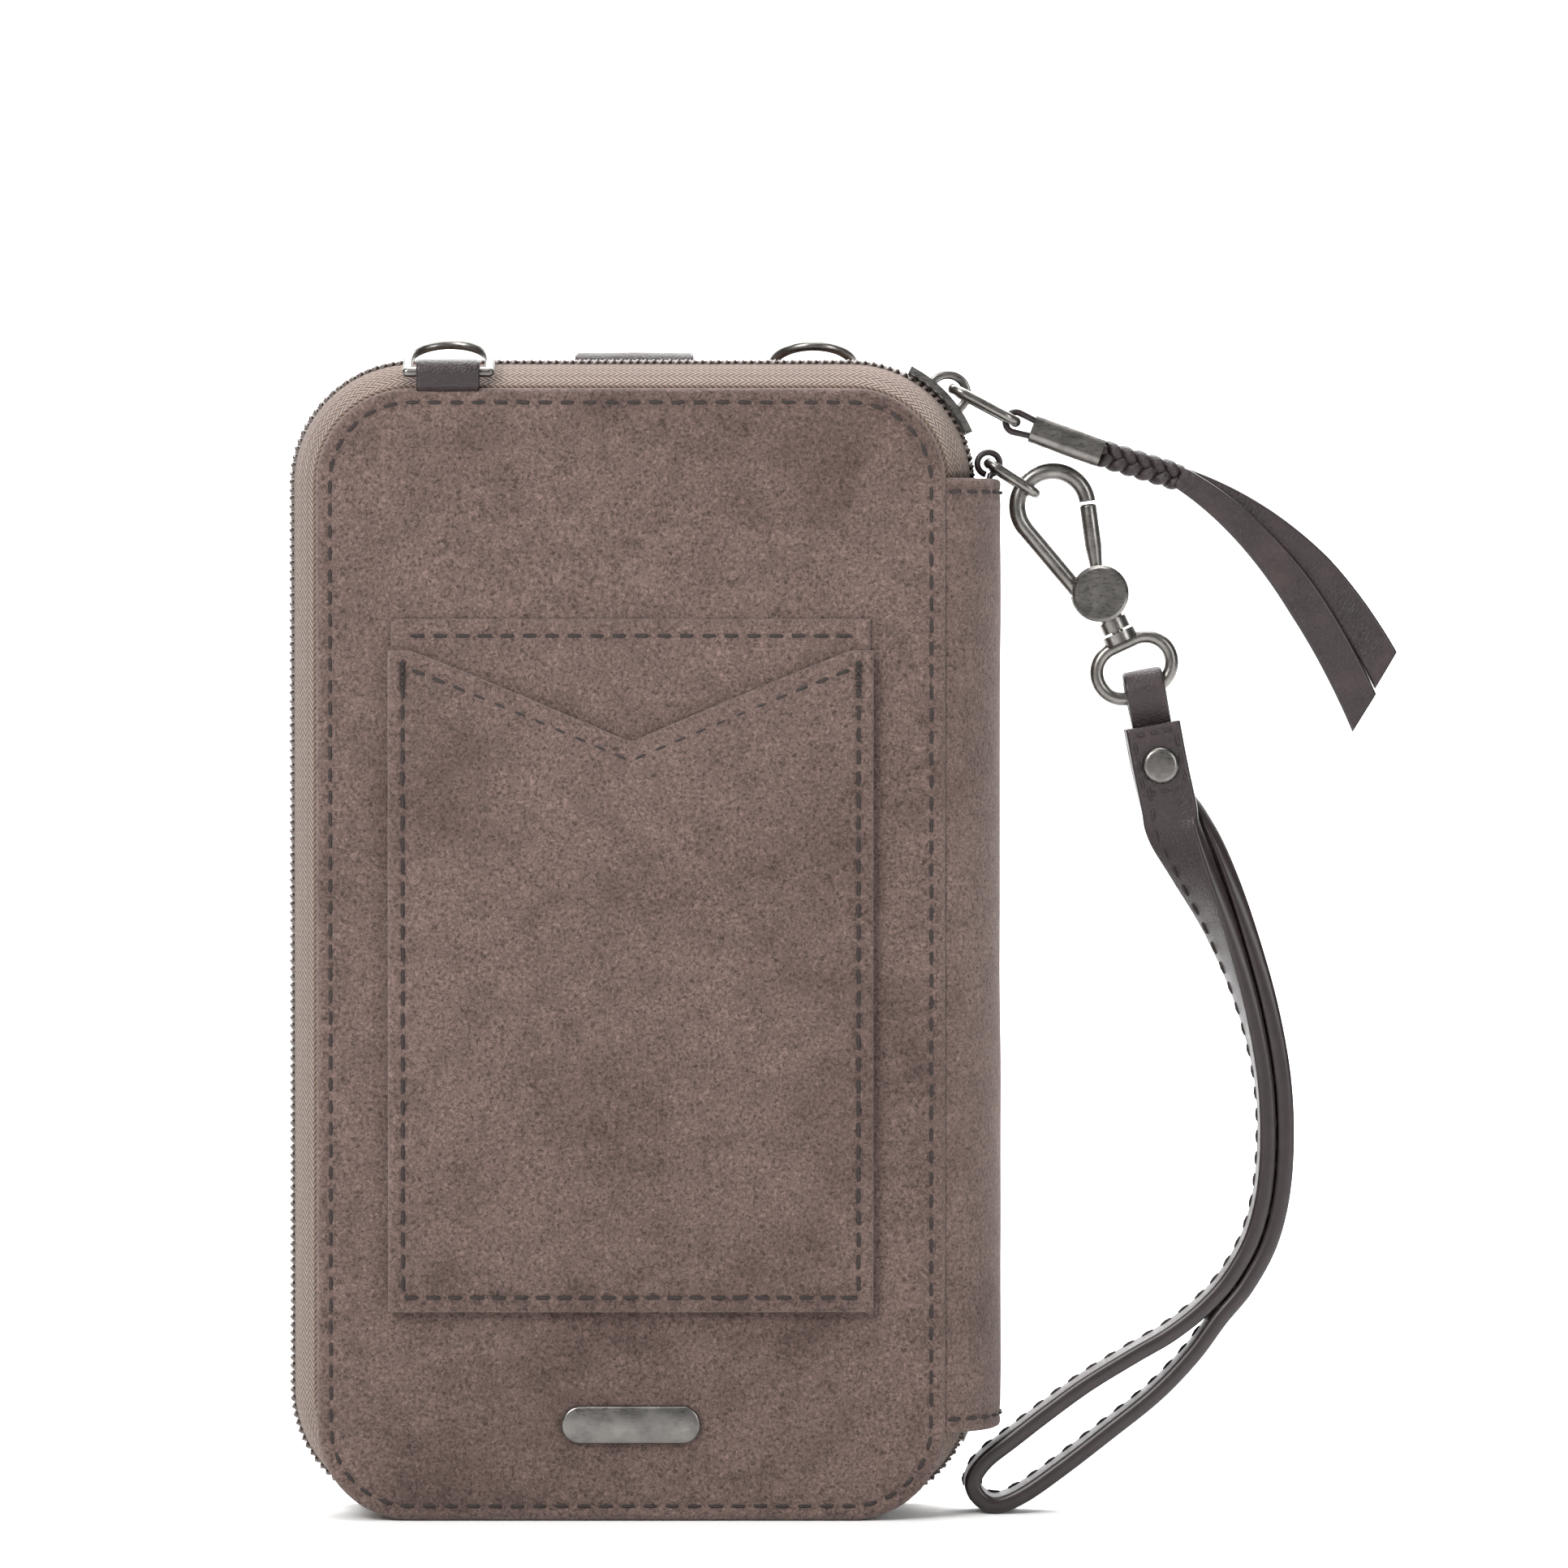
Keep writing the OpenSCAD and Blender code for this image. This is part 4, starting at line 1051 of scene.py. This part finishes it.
def plait(start, end, width, thick, body):
    """Three strands that pass over each other between two points."""
    length = (end - start).length
    along = (end - start).normalized()
    side = along.cross(Vector((0, 1, 0))).normalized()
    turn, count = 7.2 * MM, 64
    for strand in range(3):
        points = []
        for k in range(count + 1):
            t = k / count
            a = 2 * math.pi * (t * length / turn + strand / 3)
            fade = min(1.0, t / 0.06, (1 - t) / 0.06)
            points.append(start + along * length * t + side * width * math.sin(a) * (0.55 + 0.45 * fade)
                          + Vector((0, 1, 0)) * thick * math.sin(2 * a) * fade)
        lace(f"pull_braid_strand_{strand + 1}", points, 0.98 * MM, body, "pull_braid", flat=0.8)


def local(origin, angle):
    """A function that places local (x, y, z) in the XZ-turned frame at a point."""
    c, k = math.cos(math.radians(angle)), math.sin(math.radians(angle))

    def place_point(x, y, z=0.0):
        return Vector((origin.x + x * c - z * k, origin.y + y, origin.z + x * k + z * c))
    return place_point


def folded(name, points, width_dir, width, thick, body, node, material="leather"):
    """A strip that follows points, flat across one fixed direction."""
    stations = []
    for i, p in enumerate(points):
        t = (points[min(len(points) - 1, i + 1)] - points[max(0, i - 1)]).normalized()
        stations.append((p, width_dir, t.cross(width_dir).normalized()))
    obj = strip(name, stations, width, thick, material)
    return place(obj, body, material, *([node] if node else []))


def soft_slab(name, side, body, node, box, radius, y_face, thick, material, swell=0.0, seed=0.0):
    """A cloth or board panel with rounded corners whose face looks towards side."""
    (x0, z0), (x1, z1) = box
    base = []
    for cx, cz, a in ((x1 - radius, z1 - radius, 0), (x0 + radius, z1 - radius, 90),
                      (x0 + radius, z0 + radius, 180), (x1 - radius, z0 + radius, 270)):
        base += arc(cx, cz, radius, a, a + 90, 8)
    ring = resample(base, 2.5 * MM, closed=True)
    verts = []
    verts += [(x, side * (y_face - thick), z) for x, z, *_ in ring]
    for inset, drop in ((0.0, 0.6), (0.12, 0.3), (0.35, 0.1), (0.8, 0.0), (1.6, 0.0), (2.4, 0.0),
                        (3.4, 0.0)):
        verts += [(x - nx * inset * MM, side * (y_face - drop * thick), z - nz * inset * MM)
                  for x, z, nx, nz, _ in ring]
    mx, mz = (x0 + x1) / 2, (z0 + z1) / 2
    for k in range(1, 12):
        t = k / 12
        for x, z, nx, nz, _ in ring:
            px, pz = x - nx * 3.4 * MM, z - nz * 3.4 * MM
            px, pz = px + (mx - px) * t, pz + (mz - pz) * t
            y = y_face + swell * math.sin(math.pi / 2 * t)
            y += ripple((px, 0, pz), 24 * MM, 0.12 * MM, seed)
            verts.append((px, side * y, pz))
    count = len(ring)
    obj = tidy(make_mesh(name, verts, grid_faces(len(verts) // count, count, around=True, ends=True),
                         finish(material)), merge=0.001 * MM)
    return place(obj, body, material, *([node] if node else []))


# ---------- operators ----------

class WALLET_OT_covers(bpy.types.Operator):
    """Builds the two covers, the card and phone pockets and the emblem"""
    bl_idname = "wallet.covers"
    bl_label = "Covers"

    def execute(self, context):
        cover("front_cover_suede", FRONT, "front_half", "front_panel", 1.0)
        cover("back_cover_suede", BACK, "back_half", "back_panel", 5.0)
        lo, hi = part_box("card_pocket_slip")
        box = ((lo.x, lo.z), (hi.x, hi.z))
        slip_y = -hi.y
        flat_pocket("card_slip_suede", FRONT, "front_half", "card_pocket_slip", box, slip_y + 0.1 * MM,
                    1.15 * MM, seed=2.0)
        hem = line(Vector((lo.x + 2.5 * MM, -slip_y - 1.27 * MM, hi.z - 2.7 * MM)),
                   Vector((hi.x - 2.5 * MM, -slip_y - 1.27 * MM, hi.z - 2.7 * MM)), Vector((0, -1, 0)))
        seam("card_slip_hem", hem, "front_half")
        lo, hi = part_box("card_pocket_front")
        box = ((lo.x, lo.z), (hi.x, hi.z))
        v_deep = 14.5 * MM
        half = (hi.x - lo.x) / 2

        def v_edge(x):
            flat_end = half - 3.5 * MM
            q = min(1.0, abs(x) / flat_end)
            return hi.z - v_deep * (1 - q) ** 1.04
        flat_pocket("card_front_suede", FRONT, "front_half", "card_pocket_front", box, -hi.y,
                    1.3 * MM, top=v_edge, seed=9.0, bulge=0.25 * MM, rows=150)
        y = -hi.y + 1.3 * MM
        out = Vector((0, -1, 0))
        hem = [(Vector((x * MM, -y - 0.04 * MM, v_edge(x * MM) - 3.0 * MM)), out)
               for x in [k * 0.8 for k in range(-44, 45)]]
        seam("card_front_hem", hem, "front_half")
        pocket_seams("card_front_seam", FRONT, "front_half", box, y, 2.4 * MM, hi.z - 1.2 * MM)
        lo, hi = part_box("phone_pocket")
        box = ((lo.x, lo.z), (hi.x, hi.z))
        flat_pocket("phone_pocket_suede", BACK, "back_half", "phone_pocket", box, lo.y, hi.y - lo.y,
                    seed=13.0, bulge=0.15 * MM)
        pocket_seams("phone_pocket_seam", BACK, "back_half", box, hi.y, 2.4 * MM, hi.z - 1.0 * MM)
        hem = line(Vector((lo.x + 3 * MM, hi.y + 0.03 * MM, hi.z - 2.8 * MM)),
                   Vector((hi.x - 3 * MM, hi.y + 0.03 * MM, hi.z - 2.8 * MM)), Vector((0, 1, 0)))
        seam("phone_pocket_hem", hem, "back_half")
        emblem_bar()
        return {"FINISHED"}


class WALLET_OT_spine(bpy.types.Operator):
    """Builds the spine's suede, its hems and the strap's leather loop"""
    bl_idname = "wallet.spine"
    bl_label = "Spine"

    def execute(self, context):
        halves = ((FRONT, "front_half", "front_wing", "front"),
                  (BACK, "back_half", "back_wing", "back"))
        for side, half, wing, tag in halves:
            skin = spine_suede(f"spine_suede_{tag}", side)
            hems = [spine_hem(f"spine_hem_{tag}_top", side, SPINE_TOP - SPINE_HEM),
                    spine_hem(f"spine_hem_{tag}_low", side, SPINE_LOW + SPINE_HEM)]
            for piece in [skin] + hems:
                if side == FRONT:
                    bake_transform(piece)
                else:
                    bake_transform(piece)
            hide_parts(wing)
        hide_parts("spine_panel")
        hub, _ = joint("link_swing")
        at = local(hub, 0)
        r = 1.8 * MM
        lo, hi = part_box("strap_loop")
        leg = -0.1 * MM
        points = [at(leg, 0, lo.z - hub.z + k * (hub.z - r - lo.z) / 6) for k in range(6)]
        points += [at(r * math.sin(math.radians(a)), 0, -r * math.cos(math.radians(a)))
                   for a in range(10, 350, 12)]
        folded("strap_loop_leather", points, Vector((0, 1, 0)), hi.y - lo.y, 0.9 * MM, "spine",
               "strap_loop")
        return {"FINISHED"}


class WALLET_OT_zip(bpy.types.Operator):
    """Builds the zip's woven tapes and its two coils"""
    bl_idname = "wallet.zip"
    bl_label = "Zip"

    def execute(self, context):
        for side, body, tag in ((FRONT, "front_half", "front"), (BACK, "back_half", "back")):
            zip_tape(f"zip_tape_{tag}", side, body, f"{tag}_zip_tape")
            zip_coil(f"zip_coil_{tag}", side, body, f"{tag}_zip_coil")
        return {"FINISHED"}


class WALLET_OT_strap(bpy.types.Operator):
    """Builds the wrist strap, the folded strip at its eye and the rivet's domes"""
    bl_idname = "wallet.strap"
    bl_label = "Wrist strap"

    def execute(self, context):
        stations = strap_stations()
        band = strip("wrist_strap_leather", stations, 9 * MM, STRAP_T, crown=0.04)
        place(band, "strap", "leather", "wrist_strap")
        for tag, face in (("outer", 1), ("inner", -1)):
            strap_seam(f"wrist_strap_seam_{tag}", stations, -2.6 * MM, face)
        bar, _ = joint("strap_swing")
        at = local(bar, STRAP_HANG)
        gap, mean = 0.6 * MM, 3.05 * MM
        points = [at(15 * MM, gap), at(11 * MM, gap), at(7 * MM, gap), at(5.4 * MM, gap * 1.05),
                  at(3 * MM, 1.75 * MM), at(1.2 * MM, 2.62 * MM)]
        points += [at(-mean * math.sin(math.radians(a)), mean * math.cos(math.radians(a)))
                   for a in range(0, 181, 12)]
        points += [at(p[0], -p[1]) for p in ((1.2 * MM, 2.62 * MM), (3 * MM, 1.75 * MM),
                                             (5.4 * MM, gap * 1.05), (7 * MM, gap), (11 * MM, gap),
                                             (15 * MM, gap))]
        wide = at(0, 0, 1) - at(0, 0, 0)
        folded("strap_tab_leather", points, wide.normalized(), 6.4 * MM, 1.05 * MM, "strap",
               "strap_tab")
        lo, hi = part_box("strap_rivet")
        mid = (lo + hi) / 2
        for tag, face in (("front", -1), ("rear", 1)):
            rivet_dome(tag, mid + Vector((0, face * 3.8 * MM, 0)), Vector((0, face, 0)))
        y = -3.86 * MM
        for tag, x in (("upper", 6.7 * MM), ("lower", 16.2 * MM)):
            bar_row = line(at(x, y, -3.3 * MM), at(x, y, 3.3 * MM), Vector((0, -1, 0)), 0.5 * MM)
            seam(f"strap_lap_bar_{tag}", bar_row, "strap", pitch=2.2 * MM)
        for tag, z in (("left", -3.4 * MM), ("right", 3.4 * MM)):
            edge_row = line(at(7.2 * MM, y, z), at(15.8 * MM, y, z), Vector((0, -1, 0)), 0.5 * MM)
            seam(f"strap_lap_edge_{tag}", edge_row, "strap", pitch=2.9 * MM)
        return {"FINISHED"}


PULL_HANG, BRAID_HANG = -20, -17


class WALLET_OT_pull(bpy.types.Operator):
    """Builds the zip pull's thong, plait and two cut tails"""
    bl_idname = "wallet.pull"
    bl_label = "Zip pull"

    def execute(self, context):
        ring, _ = joint("pull_swing")
        at = local(ring, PULL_HANG)
        r = 1.65 * MM
        points = [at(6.5 * MM, 0, 1.1 * MM), at(4.5 * MM, 0, 1.15 * MM), at(2.4 * MM, 0, 1.35 * MM)]
        points += [at(-r * math.sin(math.radians(a)), 0, r * math.cos(math.radians(a)))
                   for a in range(0, 181, 15)]
        points += [at(2.4 * MM, 0, -1.35 * MM), at(4.5 * MM, 0, -1.15 * MM), at(6.5 * MM, 0, -1.1 * MM)]
        folded("pull_thong_leather", points, Vector((0, 1, 0)), 4 * MM, 0.95 * MM, "pull", "pull_thong")
        start = at(14.0 * MM, 0)
        turn = local(Vector(), BRAID_HANG)(1, 0)
        end = at(14.6 * MM, 0) + turn * 13.4 * MM
        plait(start, end, 1.35 * MM, 0.75 * MM, "pull")
        first = at(14.6 * MM, 0) + turn * 13.0 * MM
        for tag, reach, sag, y, node in (("front", (29, -36), (17, -10), -0.75, "pull_tail_front"),
                                         ("rear", (32.5, -29.5), (20, -7.5), 0.75, "pull_tail_rear")):
            tail(f"pull_tail_{tag}_leather", first, reach, sag, y * MM, node)
        return {"FINISHED"}


def tail(name, start, reach, sag, y, node):
    """A flat tail that widens to a slanting cut end."""
    p0 = (start.x, start.z)
    p1, p2 = [(start.x + v[0] * MM, start.z + v[1] * MM) for v in (sag, reach)]

    def edge(t, off):
        q = [(1 - t) ** 2 * a + 2 * t * (1 - t) * b + t * t * c for a, b, c in zip(p0, p1, p2)]
        d = [2 * (1 - t) * (b - a) + 2 * t * (c - b) for a, b, c in zip(p0, p1, p2)]
        n = math.hypot(*d)
        return Vector((q[0] - off * d[1] / n, y, q[1] + off * d[0] / n))
    stations = []
    count = 46
    for k in range(count + 1):
        t = k / count
        half = 6 * MM * (0.3 + 0.2 * min(1.0, t * 1.6))
        u, v = edge(t, half), edge(t * 1.07, -half)
        curl = 0.5 * MM * math.sin(3.0 * t + y * 900)
        mid = (u + v) / 2 + Vector((0, curl * t, 0))
        stations.append((mid, (u - v) / (6 * MM), Vector((0, 1, 0))))
    obj = strip(name, stations, 6 * MM, 1.25 * MM, crown=0.03)
    return place(obj, "pull", "leather", node)


class WALLET_OT_hardware(bpy.types.Operator):
    """Builds the ring tabs and the snap tab, and finishes the metal pieces"""
    bl_idname = "wallet.hardware"
    bl_label = "Hardware"

    def execute(self, context):
        parts = {p["node"]: p["material_slot"] for p in frame["record"]["subparts"]}
        for node, obj in frame["nodes"].items():
            for slot in obj.material_slots:
                slot.material = finish(parts[node])
            for polygon in obj.data.polygons:
                polygon.use_smooth = True
        across = Vector((1, 0, 0))
        for side, body, node, name in ((FRONT, "front_half", "front_ring_tab", "front_ring"),
                                       (BACK, "back_half", "rear_ring_tab", "rear_ring")):
            hub, _ = joint(name + "_swing")
            mid = middle(node)
            r = 1.62 * MM

            def at(y, z):
                return Vector((mid.x, hub.y + side * y, hub.z + z))
            points = [at(1.1 * MM, -2.9 * MM), at(1.45 * MM, -1.6 * MM)]
            points += [at(r * math.cos(math.radians(a)), r * math.sin(math.radians(a)))
                       for a in range(-20, 201, 12)]
            points += [at(-0.9 * MM, -1.55 * MM), at(-0.45 * MM, -1.9 * MM)]
            folded(node + "_leather", points, across, 10 * MM, 0.85 * MM, body, node)
        hinge, _ = joint("tab_flip")
        lo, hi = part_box("snap_tab")
        drop = hi.y - 0.6 * MM
        near = hinge.y + 0.6 * MM
        mid_y, r = (drop + near) / 2, (drop - near) / 2
        foot = lo.z + 0.6 * MM
        rise = [Vector((0, drop, foot + k * (hinge.z - foot) / 24)) for k in range(25)]
        bow = [Vector((0, y, z)) for y, z, *_ in arc(mid_y, hinge.z, r, 8, 176, 21)]
        wide = hi.x - lo.x
        folded("snap_tab_leather", rise + bow, across, wide, 1.15 * MM, "tab", "snap_tab")
        a_lo, a_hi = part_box("tab_anchor")
        anchor = [Vector((0, near, a_lo.z + k * (a_hi.z - a_lo.z) / 8)) for k in range(9)]
        folded("tab_anchor_leather", anchor, across, wide, 1.15 * MM, "back_half", "tab_anchor")
        for tag, x in (("left", -wide / 2 + 2 * MM), ("right", wide / 2 - 2 * MM)):
            path = [(p + Vector((x, 0.6 * MM, 0)), Vector((0, 1, 0))) for p in rise[1:]]
            seam(f"snap_tab_seam_{tag}", path, "tab")
        a = math.radians(152)
        p = Vector((0, mid_y + (r + 0.62 * MM) * math.cos(a), hinge.z + (r + 0.62 * MM) * math.sin(a)))
        out = Vector((0, math.cos(a), math.sin(a)))
        seam("snap_tab_top_seam", line(p - across * 5.4 * MM, p + across * 5.4 * MM, out), "tab",
             pitch=3.6 * MM)
        bail_bow()
        gate_bar()
        snap_socket()
        return {"FINISHED"}


class WALLET_OT_inside(bpy.types.Operator):
    """Builds the linings, the card slots and the coin pocket"""
    bl_idname = "wallet.inside"
    bl_label = "Inside"

    def execute(self, context):
        for side, body, tag in ((FRONT, "front_half", "front"), (BACK, "back_half", "back")):
            lo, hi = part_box(f"{tag}_lining")
            face = min(abs(lo.y), abs(hi.y))
            soft_slab(f"{tag}_lining_cloth", -side, body, f"{tag}_lining", ((lo.x, lo.z), (hi.x, hi.z)),
                      10 * MM, -face, 0.55 * MM, "lining", seed=3.0)
        for tag in ("lower", "upper"):
            lo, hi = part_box(f"card_slot_{tag}")
            box = ((lo.x, lo.z), (hi.x, hi.z))
            flat_pocket(f"card_slot_{tag}_leather", BACK, "front_half", f"card_slot_{tag}", box,
                        lo.y + 0.02 * MM, hi.y - lo.y, seed=4.0, material="leather", columns=48,
                        rows=48)
            pocket_seams(f"card_slot_{tag}_seam", BACK, "front_half", box, hi.y, 2 * MM, hi.z - 1 * MM,
                         bar=False)
        lo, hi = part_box("coin_pocket")
        box = ((lo.x, lo.z), (hi.x, hi.z))
        flat_pocket("coin_pocket_cloth", FRONT, "back_half", "coin_pocket", box, -hi.y, hi.y - lo.y,
                    seed=6.0, material="lining", columns=48, rows=48)
        pocket_seams("coin_pocket_seam", FRONT, "back_half", box, -lo.y, 2 * MM, hi.z - 1 * MM,
                     bar=False)
        return {"FINISHED"}


# ---------- stage ----------

def aim(obj, target):
    """Turns a lamp or camera towards a point."""
    obj.rotation_euler = (target - obj.location).to_track_quat("-Z", "Y").to_euler()


def camera():
    """The main camera, level with the wallet and far off."""
    data = bpy.data.cameras.new("main_camera")
    obj = bpy.data.objects.new("main_camera", data)
    bpy.context.scene.collection.objects.link(obj)
    bpy.context.scene.camera = obj
    target = Vector((0.0243, 0, 0.1169))
    rise = math.radians(1.2)
    obj.location = target + 1.2 * Vector((0, -math.cos(rise), math.sin(rise)))
    aim(obj, target)
    data.sensor_width = 36
    data.lens = 171.6
    data.clip_start = 0.05
    return obj


def area(name, place_at, target, size, power, colour=(1, 1, 1)):
    """A soft rectangular lamp."""
    data = bpy.data.lights.new(name, "AREA")
    data.shape = "RECTANGLE"
    data.size, data.size_y = size
    data.energy = power
    data.color = colour
    obj = bpy.data.objects.new(name, data)
    bpy.context.scene.collection.objects.link(obj)
    obj.location = place_at
    aim(obj, Vector(target))
    return obj


class WALLET_OT_stage(bpy.types.Operator):
    """Sets the floor, the backdrop and the studio lights"""
    bl_idname = "wallet.stage"
    bl_label = "Stage"

    def execute(self, context):
        white = Shader("stage_white")
        white.set(Base_Color=(0.90, 0.90, 0.90, 1), Roughness=0.85)
        white.surface.inputs["Specular IOR Level"].default_value = 0.1
        verts = []
        sweep = [(-1.6, 0.0), (0.9, 0.0)]
        sweep += [(0.9 + 0.5 * math.sin(math.radians(a)), 0.5 - 0.5 * math.cos(math.radians(a)))
                  for a in range(9, 91, 9)]
        sweep += [(1.4, 2.4)]
        for y, z in sweep:
            verts += [(-2.5, y, z - 0.0001), (2.5, y, z - 0.0001)]
        floor = make_mesh("stage_sweep", verts, grid_faces(len(sweep), 2), white.material)
        world = bpy.data.worlds.new("studio")
        context.scene.world = world
        world.use_nodes = True
        sky = world.node_tree.nodes["Background"]
        sky.inputs[0].default_value = (1, 1, 1, 1)
        sky.inputs[1].default_value = 0.20
        area("key", (-0.50, -0.85, 0.75), (0.02, 0, 0.1), (0.42, 0.6), 13, (1, 0.99, 0.975))
        area("fill", (0.75, -0.75, 0.40), (0.03, 0, 0.1), (0.25, 0.6), 4)
        area("top", (0.05, 0.0, 0.95), (0.02, 0, 0.1), (0.7, 0.5), 6.5)
        area("backdrop", (0, 0.75, 1.2), (0, 1.4, 0.35), (1.6, 0.6), 40)
        area("floor_wash", (0, 0.55, 0.9), (0, 0.1, 0), (1.4, 0.5), 12)
        return {"FINISHED"}


class WALLET_PT_panel(bpy.types.Panel):
    """Sizes, colours and the building steps"""
    bl_label = "Wristlet wallet"
    bl_idname = "WALLET_PT_panel"
    bl_space_type = "VIEW_3D"
    bl_region_type = "UI"
    bl_category = "Wallet"

    def draw(self, context):
        layout = self.layout
        for group in (context.scene.wallet_sizes, context.scene.wallet_colours):
            column = layout.column(align=True)
            for name in group.__annotations__:
                column.prop(group, name)
        for made in OPERATORS:
            layout.operator(made.bl_idname)


OPERATORS = (WALLET_OT_covers, WALLET_OT_spine, WALLET_OT_zip, WALLET_OT_strap, WALLET_OT_pull,
             WALLET_OT_hardware, WALLET_OT_inside, WALLET_OT_stage)
CLASSES = (WalletSizes, WalletColours, *OPERATORS, WALLET_PT_panel)


def register():
    """Registers the add-on's classes and its settings."""
    for made in CLASSES:
        bpy.utils.register_class(made)
    bpy.types.Scene.wallet_sizes = bpy.props.PointerProperty(type=WalletSizes)
    bpy.types.Scene.wallet_colours = bpy.props.PointerProperty(type=WalletColours)


def unregister():
    """Removes the settings and the classes."""
    del bpy.types.Scene.wallet_colours
    del bpy.types.Scene.wallet_sizes
    for made in reversed(CLASSES):
        bpy.utils.unregister_class(made)


def main():
    """Builds the whole wallet and its stage."""
    register()
    camera()
    bpy.context.scene.view_settings.view_transform = "Standard"
    bpy.ops.wallet.hardware()
    bpy.ops.wallet.covers()
    bpy.ops.wallet.spine()
    bpy.ops.wallet.zip()
    bpy.ops.wallet.strap()
    bpy.ops.wallet.pull()
    bpy.ops.wallet.inside()
    bpy.ops.wallet.stage()


if __name__ == "__main__":
    main()
